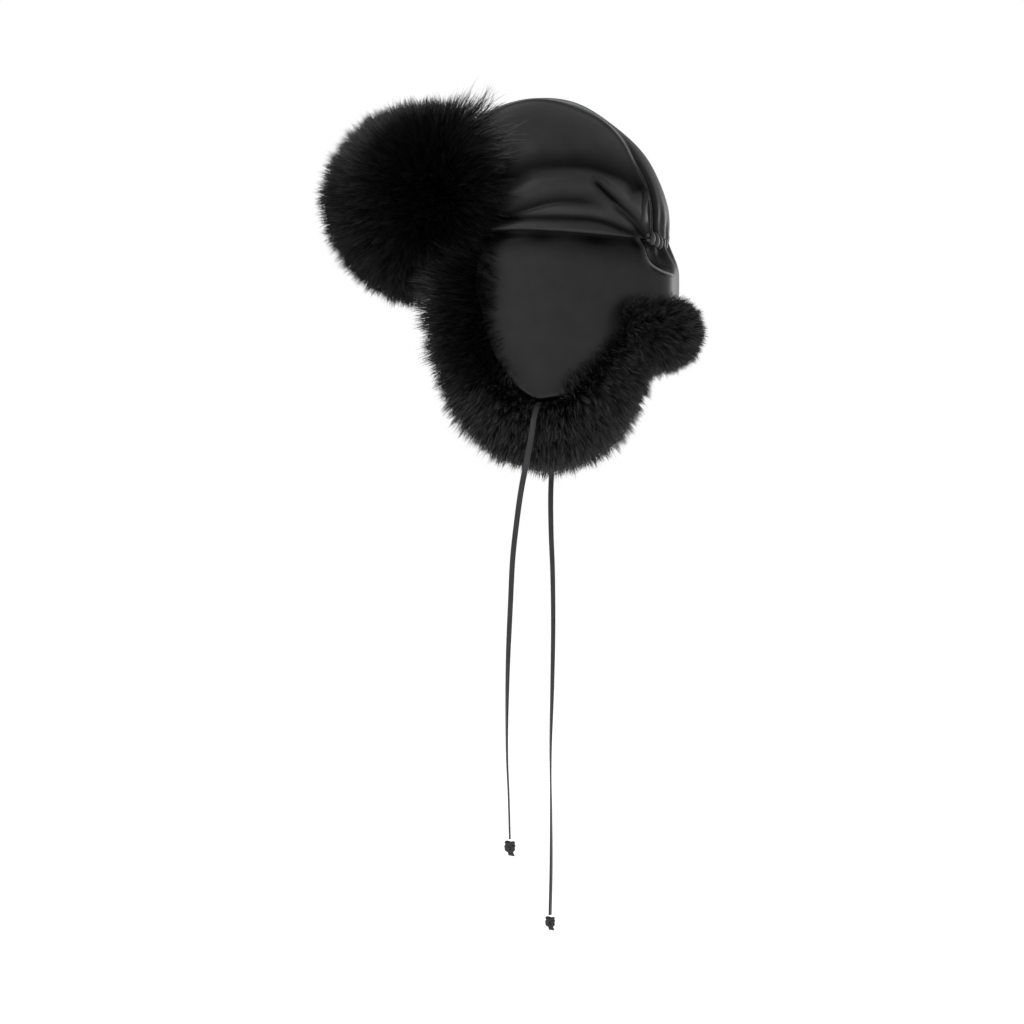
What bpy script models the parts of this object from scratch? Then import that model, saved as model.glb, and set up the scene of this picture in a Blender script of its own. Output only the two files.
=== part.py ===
"""Leather trapper hat with a turned-up fur front flap, hanging ear flaps and a neck flap.

Metres, +Z up. The origin is the centre of the head opening, at the height of the crown's hem.
The wearer looks along -Y, so the wearer's left ear flap is on +X.
The hat is built as layers: leather outside, wadding, then satin lining in the crown and fur in the flaps.
"""

import math

import bmesh
import bpy
from mathutils import Matrix, Vector

# Crown: half an ellipsoid whose widest level is a little above the hem.
CROWN_HALF_WIDTH = 0.088
CROWN_HALF_LENGTH = 0.113
CROWN_RISE = 0.109
CROWN_WIDEST_Z = 0.022
HEM_SHRINK = math.sqrt(1 - (CROWN_WIDEST_Z / CROWN_RISE) ** 2)
HEM_HALF_WIDTH = CROWN_HALF_WIDTH * HEM_SHRINK
HEM_HALF_LENGTH = CROWN_HALF_LENGTH * HEM_SHRINK

# Layers, counted inwards from the outer surface.
GAP = 0.0004
LEATHER = 0.0015
WADDING = 0.0032
LINING = 0.0010
WADDING_INSET = LEATHER + GAP
LINING_INSET = WADDING_INSET + WADDING + GAP
SWEATBAND_INSET = LINING_INSET + LINING + 3 * GAP
SWEATBAND_HEIGHT = 0.028

# The centre strip is narrow in front and wide behind, between two slanted seams.
SEAM_HALF_WIDTH = 0.025
SEAM_SLOPE = 0.085

# Rear gather: an elastic in a ruched casing between the hem and the neck flap.
GATHER_HALF_HEIGHT = 0.0036
GATHER_INSET = 0.0030
GATHER_FROM_Y = 0.092
HEM_Z = 0.0005
REAR_HEM_Z = GATHER_HALF_HEIGHT + GAP

# Flaps. Every flap hangs from the hem, and its top edge is this far under it.
FLAP_TOP_Z = -0.0005
PILE_PRESSED = 0.011
FLAP_FUR_INSET = LINING_INSET
EAR_FRONT_Y, EAR_REAR_Y = -0.058, 0.088
EAR_TIP_Y, EAR_TIP_Z = 0.002, -0.150
EAR_MIDDLE = (0.006, -0.060)
EAR_OUTLINE = (
    # y, z, True where the outline has a corner
    (EAR_FRONT_Y, 0.010, True),
    (EAR_REAR_Y, 0.010, True),
    (EAR_REAR_Y, -0.078, True),
    (0.068, -0.099, False),
    (0.047, -0.127, False),
    (0.026, -0.1465, False),
    (EAR_TIP_Y, EAR_TIP_Z, False),
    (-0.024, -0.139, False),
    (-0.041, -0.112, False),
    (-0.050, -0.075, False),
)
EAR_FUR_RADIUS = 0.027
EAR_FUR_ROUTE = (
    # y, z of the border roll's centre, from the front of the cheek round the tip to the rear
    (-0.074, -0.101),
    (-0.068, -0.125),
    (-0.054, -0.153),
    (-0.030, -0.176),
    (0.004, -0.186),
    (0.035, -0.174),
    (0.056, -0.150),
    (0.070, -0.129),
    (0.081, -0.108),
    (0.095, -0.092),
)
CHEEK_NOTCH_Z = -0.070
CHEEK_FRONT_Y = -0.105
NECK_FRONT_Y = 0.092
NECK_DROP = 0.060
NECK_FLARE = 1.09
NECK_FUR_RADIUS = 0.027
NECK_FUR_Z = -0.089
NECK_FUR_DIP = 0.030

# Front flap: stands up round the forehead and leans forward.
FRONT_CLEARANCE = 0.0035
FRONT_HEIGHT = 0.086
FRONT_SPREAD = 1.06
FRONT_LEAN = 0.014
FRONT_REAR_Y = -0.060
STIFFENER = 0.0020
FRONT_FUR_CENTRE = (0.0, -0.112, 0.038)
FRONT_FUR_HALF = (0.104, 0.088, 0.088)
FRONT_FUR_OFF_CROWN = 0.004
BROW_FUR_Y = -0.117

# Hinges: each flap folds about a straight line just outside the hem it is sewn to.
HINGE_OUT = 0.0005
EAR_HINGE_X = CROWN_HALF_WIDTH * HEM_SHRINK + HINGE_OUT
FRONT_HINGE_Y = -0.1135
NECK_HINGE_Y = CROWN_HALF_LENGTH * HEM_SHRINK + HINGE_OUT
NECK_HINGE_Z = -0.004

# Ties: leather laces that come out of the ear flaps' tips and end in an overhand knot.
TIE_DIAMETER = 0.0050
KNOT_RADIUS = 0.0052
KNOT_LENGTH = 0.015
LEFT_TIE = (
    # x, y, z from the flap's tip, over the fur, to the knot
    (0.0880, 0.0015, -0.1530),
    (0.1010, 0.0000, -0.1570),
    (0.1115, -0.0020, -0.1680),
    (0.1160, -0.0045, -0.1860),
    (0.1160, -0.0080, -0.2050),
    (0.1145, -0.0130, -0.2300),
    (0.1135, -0.0170, -0.2580),
    (0.1130, -0.0205, -0.2900),
    (0.1130, -0.0225, -0.3300),
    (0.1130, -0.0245, -0.3750),
    (0.1130, -0.0255, -0.4200),
    (0.1130, -0.0255, -0.4600),
    (0.1130, -0.0240, -0.4980),
    (0.1130, -0.0230, -0.5345),
)
RIGHT_TIE = (
    (-0.0880, 0.0015, -0.1530),
    (-0.1010, 0.0020, -0.1570),
    (-0.1115, 0.0015, -0.1680),
    (-0.1160, 0.0005, -0.1860),
    (-0.1160, -0.0005, -0.2050),
    (-0.1145, -0.0015, -0.2350),
    (-0.1135, -0.0010, -0.2700),
    (-0.1130, 0.0005, -0.3100),
    (-0.1130, 0.0010, -0.3600),
    (-0.1130, 0.0000, -0.4200),
    (-0.1130, -0.0015, -0.4800),
    (-0.1130, -0.0010, -0.5400),
    (-0.1130, -0.0010, -0.5900),
    (-0.1130, -0.0020, -0.6380),
)
TIE_POINT_SPACING = 0.0125

BLACK_LEATHER = ("smooth_black_leather", (0.022, 0.022, 0.023), 0.38)
BLACK_FUR = ("long_black_fur", (0.008, 0.008, 0.008), 0.85)
BLACK_SATIN = ("black_satin_lining", (0.015, 0.015, 0.017), 0.45)
GREY_WADDING = ("grey_wadding", (0.30, 0.30, 0.31), 0.95)
BLACK_ELASTIC = ("woven_black_elastic", (0.030, 0.030, 0.032), 0.80)
SWEATBAND_LEATHER = ("sweatband_leather", (0.028, 0.027, 0.026), 0.55)

ALONG_PLUS_X = Matrix(((0, 0, 1), (1, 0, 0), (0, 1, 0))).to_4x4()  # outline x, y -> world Y, Z


def clear_scene():
    for obj in list(bpy.data.objects):
        bpy.data.objects.remove(obj, do_unlink=True)


def new_collection(name):
    collection = bpy.data.collections.new(name)
    bpy.context.scene.collection.children.link(collection)
    return collection


def finish_material(finish):
    """The Principled material of a (name, colour, roughness) finish, made once."""
    name, colour, roughness = finish
    material = bpy.data.materials.get(name)
    if material is None:
        material = bpy.data.materials.new(name)
        material.use_nodes = True
        shader = material.node_tree.nodes["Principled BSDF"]
        shader.inputs["Base Color"].default_value = (*colour, 1.0)
        shader.inputs["Roughness"].default_value = roughness
        shader.inputs["Metallic"].default_value = 0.0
    return material


def hinge_at(name, place):
    """An empty on a flap's hinge line."""
    empty = bpy.data.objects.new(name, None)
    empty.empty_display_size = 0.02
    empty.location = place
    HAT.objects.link(empty)
    return empty


def hang_on(hinge, *pieces):
    """Parents the pieces to a hinge's empty and leaves them where they are."""
    for piece in pieces:
        piece.parent = hinge
        piece.matrix_parent_inverse = Matrix.Translation(-hinge.location)


def object_from(bm, name, collection, finish=None):
    mesh = bpy.data.meshes.new(name)
    bm.to_mesh(mesh)
    bm.free()
    obj = bpy.data.objects.new(name, mesh)
    collection.objects.link(obj)
    if finish:
        mesh.materials.append(finish_material(finish))
        mesh.shade_smooth()
        mesh.set_sharp_from_angle(angle=math.radians(35))
    else:
        obj.hide_render = True
        obj.display_type = "WIRE"
    return obj


def add_wall(obj, thickness):
    """Gives an open surface a wall that grows inwards from it."""
    wall = obj.modifiers.new("wall", "SOLIDIFY")
    wall.thickness = thickness
    wall.offset = -1.0
    wall.use_even_offset = True
    return obj


def add_boolean(obj, operation, other):
    cut = obj.modifiers.new(f"{operation.lower()}_{other.name}", "BOOLEAN")
    cut.operation = operation
    cut.object = other
    cut.solver = "EXACT"
    return obj


def box_cutter(name, low, high):
    bm = bmesh.new()
    bmesh.ops.create_cube(bm, size=1.0)
    low, high = Vector(low), Vector(high)
    bmesh.ops.scale(bm, vec=high - low, verts=bm.verts)
    bmesh.ops.translate(bm, vec=(low + high) / 2, verts=bm.verts)
    return object_from(bm, name, CUTTERS)


def ellipsoid(bm, centre, half, segments, rings):
    bmesh.ops.create_uvsphere(bm, u_segments=segments, v_segments=rings, radius=1.0)
    bmesh.ops.scale(bm, vec=half, verts=bm.verts)
    bmesh.ops.translate(bm, vec=centre, verts=bm.verts)


def bisect(bm, point, normal, keep_front):
    bmesh.ops.bisect_plane(
        bm,
        geom=bm.verts[:] + bm.edges[:] + bm.faces[:],
        plane_co=point,
        plane_no=normal,
        clear_outer=not keep_front,
        clear_inner=keep_front,
        dist=1e-6,
    )


def crown_half(inset):
    return (CROWN_HALF_WIDTH - inset, CROWN_HALF_LENGTH - inset, CROWN_RISE - inset)


def crown_layer(name, inset, wall, finish, side=None):
    """A layer of the crown: the whole dome, or with side -1, 0 or 1 the right, centre or left panel.

    The hem is cut level, and higher behind the ears where the gathered casing goes.
    """
    bm = bmesh.new()
    ellipsoid(bm, (0, 0, CROWN_WIDEST_Z), crown_half(inset), 40, 28)
    bisect(bm, (0, 0, HEM_Z), (0, 0, 1), keep_front=True)
    if side is not None:
        seam_gap = GAP / 2
        for edge in (-1, 1):
            normal = Vector((edge, -SEAM_SLOPE, 0)).normalized()
            if side == 0:
                bisect(bm, (edge * (SEAM_HALF_WIDTH - seam_gap), 0, 0), normal, keep_front=False)
            elif side == edge:
                bisect(bm, (edge * (SEAM_HALF_WIDTH + seam_gap), 0, 0), normal, keep_front=True)
    obj = add_wall(object_from(bm, name, HAT, finish), wall)
    return add_boolean(obj, "DIFFERENCE", REAR_HEM_CUTTER)


def open_ring(name, collection, half_low, half_high, low, high, finish=None, lean=0.0, segments=72):
    """An open elliptical tube from height low to high. Its top ring may be larger, and moved forward."""
    bm = bmesh.new()
    bmesh.ops.create_cone(
        bm, cap_ends=False, segments=segments, radius1=1.0, radius2=1.0, depth=1.0
    )
    for vert in bm.verts:
        top = vert.co.z > 0
        half = half_high if top else half_low
        vert.co.x *= half[0]
        vert.co.y = vert.co.y * half[1] - (lean if top else 0.0)
        vert.co.z = high if top else low
    return object_from(bm, name, collection, finish)


def hem_half(inset, factor=1.0):
    return (HEM_HALF_WIDTH * factor - inset, HEM_HALF_LENGTH * factor - inset)


def ear_prism(name, side, grow):
    """The ear flap's outline, grown about its middle, run through the side of the hat as a cutter."""
    middle = Vector(EAR_MIDDLE)
    curve = bpy.data.curves.new(name + "_outline", "CURVE")
    curve.dimensions = "2D"
    curve.fill_mode = "BOTH"
    curve.resolution_u = 5
    curve.extrude = 0.045
    spline = curve.splines.new("BEZIER")
    spline.bezier_points.add(len(EAR_OUTLINE) - 1)
    for point, (y, z, corner) in zip(spline.bezier_points, EAR_OUTLINE):
        at = middle + (Vector((y, z)) - middle) * grow
        point.co = (at.x, at.y, 0)
        point.handle_left_type = point.handle_right_type = "VECTOR" if corner else "AUTO"
    spline.use_cyclic_u = True
    outline = bpy.data.objects.new(name + "_outline", curve)
    CUTTERS.objects.link(outline)
    outline.matrix_world = Matrix.Translation((side * 0.075, 0, 0)) @ ALONG_PLUS_X
    return mesh_from_curve(outline, name, CUTTERS)


def mesh_from_curve(source, name, collection, finish=None):
    """A welded mesh in the place of a curve object, which is removed."""
    bpy.context.view_layer.update()
    graph = bpy.context.evaluated_depsgraph_get()
    mesh = bpy.data.meshes.new_from_object(source.evaluated_get(graph), depsgraph=graph)
    bm = bmesh.new()
    bm.from_mesh(mesh)
    bmesh.ops.remove_doubles(bm, verts=bm.verts, dist=1e-6)
    bmesh.ops.recalc_face_normals(bm, faces=bm.faces)
    place = source.matrix_world.copy()
    bpy.data.objects.remove(source, do_unlink=True)
    bpy.data.meshes.remove(mesh)
    obj = object_from(bm, name, collection, finish)
    obj.matrix_world = place
    return obj


def smooth_route(points, spacing):
    """Points about spacing apart along a Catmull-Rom curve through the given ones."""
    points = [Vector(p) for p in points]
    padded = [2 * points[0] - points[1]] + points + [2 * points[-1] - points[-2]]
    route = []
    for p0, p1, p2, p3 in zip(padded, padded[1:], padded[2:], padded[3:]):
        steps = max(1, round((p2 - p1).length / spacing))
        for step in range(steps):
            t = step / steps
            route.append(
                0.5
                * (
                    2 * p1
                    + (p2 - p0) * t
                    + (2 * p0 - 5 * p1 + 4 * p2 - p3) * t**2
                    + (3 * p1 - p0 - 3 * p2 + p3) * t**3
                )
            )
    return route + [points[-1]]


def tube_curve(name, points, radius, resolution, collection, finish=None):
    """A round bar with closed ends along the points."""
    curve = bpy.data.curves.new(name, "CURVE")
    curve.dimensions = "3D"
    curve.bevel_depth = radius
    curve.bevel_resolution = resolution
    curve.use_fill_caps = True
    spline = curve.splines.new("POLY")
    spline.points.add(len(points) - 1)
    for point, place in zip(spline.points, points):
        point.co = (*place, 1.0)
    obj = bpy.data.objects.new(name, curve)
    collection.objects.link(obj)
    if finish:
        curve.materials.append(finish_material(finish))
    return obj


def hem_x(y, inset=0.0):
    """Half the hat's width at the hem, at a given y."""
    width, length = hem_half(inset)
    return width * math.sqrt(max(0.0, 1 - (y / length) ** 2))


def make_crown():
    crown_layer("crown_side_left", 0.0, LEATHER, BLACK_LEATHER, side=1)
    crown_layer("crown_side_right", 0.0, LEATHER, BLACK_LEATHER, side=-1)
    crown_layer("crown_centre_strip", 0.0, LEATHER, BLACK_LEATHER, side=0)
    crown_layer("crown_wadding", WADDING_INSET, WADDING, GREY_WADDING)
    crown_layer("lining_side_left", LINING_INSET, LINING, BLACK_SATIN, side=1)
    crown_layer("lining_side_right", LINING_INSET, LINING, BLACK_SATIN, side=-1)
    crown_layer("lining_centre_strip", LINING_INSET, LINING, BLACK_SATIN, side=0)
    band = hem_half(SWEATBAND_INSET)
    sweatband = open_ring(
        "sweatband", HAT, band, band, HEM_Z, SWEATBAND_HEIGHT, SWEATBAND_LEATHER
    )
    add_wall(sweatband, LEATHER)
    add_boolean(sweatband, "DIFFERENCE", REAR_HEM_CUTTER)


def make_rear_gather():
    """The ruched leather casing, and the elastic that lies against its inner face."""
    rear = box_cutter("rear_gather_span", (-0.2, GATHER_FROM_Y, -0.02), (0.2, 0.2, 0.02))
    layers = (
        ("elastic_casing", GATHER_INSET, LEATHER, BLACK_LEATHER),
        ("rear_elastic", GATHER_INSET + LEATHER + GAP, LINING, BLACK_ELASTIC),
    )
    for name, inset, wall, finish in layers:
        half = hem_half(inset)
        ring = open_ring(name, HAT, half, half, -GATHER_HALF_HEIGHT, GATHER_HALF_HEIGHT, finish)
        add_wall(ring, wall)
        add_boolean(ring, "INTERSECT", rear)


def make_ear_flap(side, label):
    """Leather outside, wadding, then fur: a pressed pile inside and a full roll round the edge."""
    bottom = -0.17
    hinge = hinge_at(f"ear_flap_hinge_{label}", (side * EAR_HINGE_X, 0, 0))
    plain = ear_prism(f"ear_prism_{label}", side, 1.0)
    layers = (
        (f"ear_flap_leather_{label}", 0.0, LEATHER, BLACK_LEATHER),
        (f"ear_flap_wadding_{label}", WADDING_INSET, WADDING, GREY_WADDING),
    )
    for name, inset, wall, finish in layers:
        half = hem_half(inset)
        layer = open_ring(name, HAT, half, half, bottom, FLAP_TOP_Z, finish)
        add_wall(layer, wall)
        add_boolean(layer, "INTERSECT", plain)
        hang_on(hinge, layer)

    pocket_half = hem_half(-GAP)
    pocket = open_ring(f"ear_pocket_{label}", CUTTERS, pocket_half, pocket_half, bottom, 0.02)
    add_wall(pocket, LINING_INSET + GAP)
    add_boolean(pocket, "INTERSECT", ear_prism(f"ear_pocket_prism_{label}", side, 1.012))

    route = [
        (side * (hem_x(y) - 0.002), y, z)
        for y, z in (tuple(p) for p in smooth_route(EAR_FUR_ROUTE, 0.016))
    ]
    roll = tube_curve(f"ear_roll_curve_{label}", route, EAR_FUR_RADIUS, 3, CUTTERS)
    roll = mesh_from_curve(roll, f"ear_roll_{label}", CUTTERS)

    fur_half = hem_half(FLAP_FUR_INSET + GAP)
    name = f"ear_flap_fur_{label}"
    fur = open_ring(name, HAT, fur_half, fur_half, bottom - 0.004, FLAP_TOP_Z, BLACK_FUR)
    add_wall(fur, PILE_PRESSED)
    add_boolean(fur, "INTERSECT", ear_prism(f"ear_fur_prism_{label}", side, 1.08))
    add_boolean(fur, "UNION", roll)
    add_boolean(fur, "DIFFERENCE", pocket)
    add_boolean(fur, "INTERSECT", EAR_SPAN)
    add_boolean(fur, "DIFFERENCE", CHEEK_NOTCH)
    hang_on(hinge, fur)
    return hinge


def make_front_flap():
    """Leather behind, a stiffener, and the fur's full pile in front, with the crown's shape cut away."""
    hinge = hinge_at("front_flap_hinge", (0, FRONT_HINGE_Y, 0))
    span = box_cutter(
        "front_flap_span", (-0.2, -0.3, HEM_Z), (0.2, FRONT_REAR_Y, FRONT_HEIGHT)
    )

    def leaning(name, outset, collection, finish=None):
        low = tuple(h + FRONT_CLEARANCE + outset for h in hem_half(0.0))
        high = tuple(h * FRONT_SPREAD for h in low)
        return open_ring(name, collection, low, high, HEM_Z, FRONT_HEIGHT, finish, FRONT_LEAN)

    layers = (
        ("front_flap_leather", LEATHER, LEATHER, BLACK_LEATHER),
        ("front_flap_stiffener", LEATHER + GAP + STIFFENER, STIFFENER, GREY_WADDING),
    )
    for name, outset, wall, finish in layers:
        layer = add_wall(leaning(name, outset, HAT, finish), wall)
        add_boolean(layer, "INTERSECT", span)
        hang_on(hinge, layer)

    core = leaning("front_flap_core", LEATHER + STIFFENER + 2 * GAP, CUTTERS)
    bm = bmesh.new()
    bm.from_mesh(core.data)
    bmesh.ops.holes_fill(bm, edges=bm.edges)
    bmesh.ops.scale(
        bm,
        vec=(1, 1, 1.02),
        verts=bm.verts,
        space=Matrix.Translation((0, 0, -FRONT_HEIGHT / 2)),
    )
    bmesh.ops.recalc_face_normals(bm, faces=bm.faces)
    bm.to_mesh(core.data)
    bm.free()

    bm = bmesh.new()
    ellipsoid(bm, (0, 0, CROWN_WIDEST_Z), crown_half(-FRONT_FUR_OFF_CROWN), 32, 20)
    dome = object_from(bm, "crown_clearance", CUTTERS)

    bm = bmesh.new()
    ellipsoid(bm, FRONT_FUR_CENTRE, FRONT_FUR_HALF, 36, 22)
    fur = object_from(bm, "front_flap_fur", HAT, BLACK_FUR)
    limits = box_cutter("front_fur_span", (-0.2, -0.3, -0.2), (0.2, FRONT_REAR_Y, 0.2))
    below_hem = box_cutter("below_front_hem", (-0.2, BROW_FUR_Y, -0.2), (0.2, 0.1, HEM_Z))
    add_boolean(fur, "INTERSECT", limits)
    add_boolean(fur, "DIFFERENCE", below_hem)
    add_boolean(fur, "DIFFERENCE", core)
    add_boolean(fur, "DIFFERENCE", dome)
    hang_on(hinge, fur)


def make_neck_flap():
    """Flared leather, wadding and pressed pile down the nape, and a fur roll along the lower edge."""
    hinge = hinge_at("neck_flap_hinge", (0, NECK_HINGE_Y, NECK_HINGE_Z))
    rear = box_cutter("neck_span", (-0.2, NECK_FRONT_Y, -0.3), (0.2, 0.3, 0.0))
    top, bottom = -GATHER_HALF_HEIGHT - GAP, -NECK_DROP
    layers = (
        ("neck_flap_leather", 0.0, LEATHER, BLACK_LEATHER),
        ("neck_flap_wadding", WADDING_INSET, WADDING, GREY_WADDING),
    )
    for name, inset, wall, finish in layers:
        low = hem_half(inset, NECK_FLARE)
        layer = open_ring(name, HAT, low, hem_half(inset), bottom, top, finish)
        add_wall(layer, wall)
        add_boolean(layer, "INTERSECT", rear)
        hang_on(hinge, layer)

    half_width, half_length = hem_half(0.0, NECK_FLARE)
    turns = [math.radians(angle) for angle in range(-10, 191, 10)]
    route = [
        (
            half_width * math.cos(turn),
            half_length * math.sin(turn) - 0.004,
            NECK_FUR_Z - NECK_FUR_DIP * (1 - math.sin(turn)),
        )
        for turn in turns
    ]
    roll = tube_curve("neck_roll_curve", route, NECK_FUR_RADIUS, 3, CUTTERS)
    roll = mesh_from_curve(roll, "neck_roll", CUTTERS)
    fur_low = hem_half(FLAP_FUR_INSET + GAP, NECK_FLARE)
    fur = open_ring(
        "neck_flap_fur", HAT, fur_low, hem_half(FLAP_FUR_INSET + GAP), bottom - 0.012, top, BLACK_FUR
    )
    add_wall(fur, PILE_PRESSED)
    pocket_low, pocket_high = hem_half(-GAP, NECK_FLARE), hem_half(-GAP)
    pocket = open_ring("neck_pocket", CUTTERS, pocket_low, pocket_high, bottom - GAP, top)
    add_wall(pocket, LINING_INSET + GAP)
    add_boolean(fur, "UNION", roll)
    add_boolean(fur, "DIFFERENCE", pocket)
    add_boolean(fur, "INTERSECT", rear)
    hang_on(hinge, fur)


def make_tie(hinge, label, route):
    """The lace that leaves the ear flap's tip, and the knot that ends it. Both move with the flap."""
    tie_points = smooth_route(route, TIE_POINT_SPACING)
    tie = tube_curve(f"tie_{label}", tie_points, TIE_DIAMETER / 2, 2, HAT, BLACK_LEATHER)

    end = Vector(route[-1])
    bm = bmesh.new()
    bmesh.ops.create_icosphere(bm, subdivisions=2, radius=1.0)
    bmesh.ops.scale(bm, vec=(KNOT_RADIUS, KNOT_RADIUS, KNOT_LENGTH / 2), verts=bm.verts)
    knot = object_from(bm, f"tie_knot_{label}", HAT, BLACK_LEATHER)
    knot.location = end - Vector((0, 0, KNOT_LENGTH / 2 + GAP))
    hang_on(hinge, tie, knot)


clear_scene()
HAT = new_collection("trapper_hat")
CUTTERS = new_collection("cutters")
REAR_HEM_CUTTER = box_cutter(
    "rear_hem_cutter", (-0.2, GATHER_FROM_Y - 2 * GAP, -0.02), (0.2, 0.2, REAR_HEM_Z)
)
EAR_SPAN = box_cutter("ear_span", (-0.2, CHEEK_FRONT_Y, -0.3), (0.2, EAR_REAR_Y, FLAP_TOP_Z))
CHEEK_NOTCH = box_cutter("cheek_notch", (-0.2, -0.2, CHEEK_NOTCH_Z), (0.2, EAR_FRONT_Y, 0.1))

make_crown()
make_rear_gather()
make_front_flap()
make_neck_flap()
make_tie(make_ear_flap(1, "left"), "left", LEFT_TIE)
make_tie(make_ear_flap(-1, "right"), "right", RIGHT_TIE)
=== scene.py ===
"""The looks of a black leather trapper hat with long-pile fur flaps.

Metres, +Z up. The origin is the centre of the head opening at the hem, and the hat faces -Y, so the
wearer's left ear flap is on +X. Every sub-assembly is a class that works out its surfaces with numpy.
The crown's, the lining's, the gather's and the ties' pieces hang on the bodies of the fixed frame, and
the flaps' pieces stay where they are made, with their transforms baked in.
"""

from __future__ import annotations

import logging
import math
from dataclasses import dataclass, field
from enum import Enum
from typing import Optional, Sequence

import bpy
import numpy as np
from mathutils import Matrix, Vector


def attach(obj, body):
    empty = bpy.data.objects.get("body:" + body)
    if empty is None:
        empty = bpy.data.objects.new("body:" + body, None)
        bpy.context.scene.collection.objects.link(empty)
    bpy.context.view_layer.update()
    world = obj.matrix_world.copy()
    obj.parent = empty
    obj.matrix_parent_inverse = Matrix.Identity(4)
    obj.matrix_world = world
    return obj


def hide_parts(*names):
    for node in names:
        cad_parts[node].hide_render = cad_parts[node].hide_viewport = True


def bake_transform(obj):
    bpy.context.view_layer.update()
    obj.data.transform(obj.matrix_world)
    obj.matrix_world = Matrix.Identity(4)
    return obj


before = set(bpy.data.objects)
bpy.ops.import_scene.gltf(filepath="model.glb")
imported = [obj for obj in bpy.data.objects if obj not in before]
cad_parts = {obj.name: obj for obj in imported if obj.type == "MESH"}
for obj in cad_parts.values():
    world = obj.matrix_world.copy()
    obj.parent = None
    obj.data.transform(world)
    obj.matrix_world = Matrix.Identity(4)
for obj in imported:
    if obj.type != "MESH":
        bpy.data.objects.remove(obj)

Array = np.ndarray
MM = 0.001
LOG = logging.getLogger("trapper_hat")


class Side(Enum):
    """A side of the hat, with the sign of X on it."""

    LEFT = 1
    RIGHT = -1

    @property
    def label(self) -> str:
        """The word used in the names of nodes, bodies and pieces."""
        return self.name.lower()


class Body(Enum):
    """The moving bodies of the fixed frame."""

    CROWN = "crown"
    FRONT = "front_flap"
    EAR_LEFT = "ear_flap_left"
    EAR_RIGHT = "ear_flap_right"
    NECK = "neck_flap"


# ---------------------------------------------------------------------------------------------
# Finishes
# ---------------------------------------------------------------------------------------------


def linear(hex_colour: str) -> tuple[float, float, float, float]:
    """Turns an sRGB colour into the linear values that a shader takes.

    Args:
        hex_colour: Six hex digits, with or without a leading #.

    Returns:
        Linear red, green, blue and an alpha of 1.
    """
    digits = hex_colour.lstrip("#")
    values = [int(digits[i : i + 2], 16) / 255 for i in (0, 2, 4)]
    red, green, blue = (v / 12.92 if v <= 0.04045 else ((v + 0.055) / 1.055) ** 2.4 for v in values)
    return (red, green, blue, 1.0)


class Recipe:
    """A material's node tree while it is being put together."""

    def __init__(self, name: str) -> None:
        """Makes an empty Principled material of that name."""
        self.material = bpy.data.materials.new(name)
        self.material.use_nodes = True
        self.tree = self.material.node_tree
        self.shader = self.tree.nodes["Principled BSDF"]

    def add(self, kind: str, settings: Optional[dict] = None, links: Optional[dict] = None) -> bpy.types.Node:
        """Adds a node with its settings and the links into it.

        Args:
            kind: The node's type name, such as ShaderNodeTexNoise.
            settings: Values by attribute name, or by input name or number for a socket.
            links: Output sockets by the input name or number that each one feeds.

        Returns:
            The new node.
        """
        node = self.tree.nodes.new(kind)
        for key, value in (settings or {}).items():
            if isinstance(key, int) or key in node.inputs:
                node.inputs[key].default_value = value
            else:
                setattr(node, key, value)
        for key, socket in (links or {}).items():
            self.tree.links.new(socket, node.inputs[key])
        return node

    def ramp(self, factor: bpy.types.NodeSocket, stops: Sequence[tuple[float, str]]) -> bpy.types.NodeSocket:
        """Colours a value through a ramp of (position, hex colour) stops and returns the colour socket."""
        node = self.add("ShaderNodeValToRGB", links={"Fac": factor})
        elements = node.color_ramp.elements
        while len(elements) < len(stops):
            elements.new(0.5)
        for element, (position, colour) in zip(elements, stops):
            element.position = position
            element.color = linear(colour)
        return node.outputs["Color"]

    def span(self, value: bpy.types.NodeSocket, low: float, high: float) -> bpy.types.NodeSocket:
        """Maps a value of 0 to 1 onto low to high and returns the socket."""
        return self.add(
            "ShaderNodeMapRange", {"To Min": low, "To Max": high}, {"Value": value}
        ).outputs["Result"]

    def feed(self, name: str, value: object) -> None:
        """Links a socket to one of the shader's inputs, or sets the input where the value is a constant."""
        if isinstance(value, bpy.types.NodeSocket):
            self.tree.links.new(value, self.shader.inputs[name])
        else:
            self.shader.inputs[name].default_value = value


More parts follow.
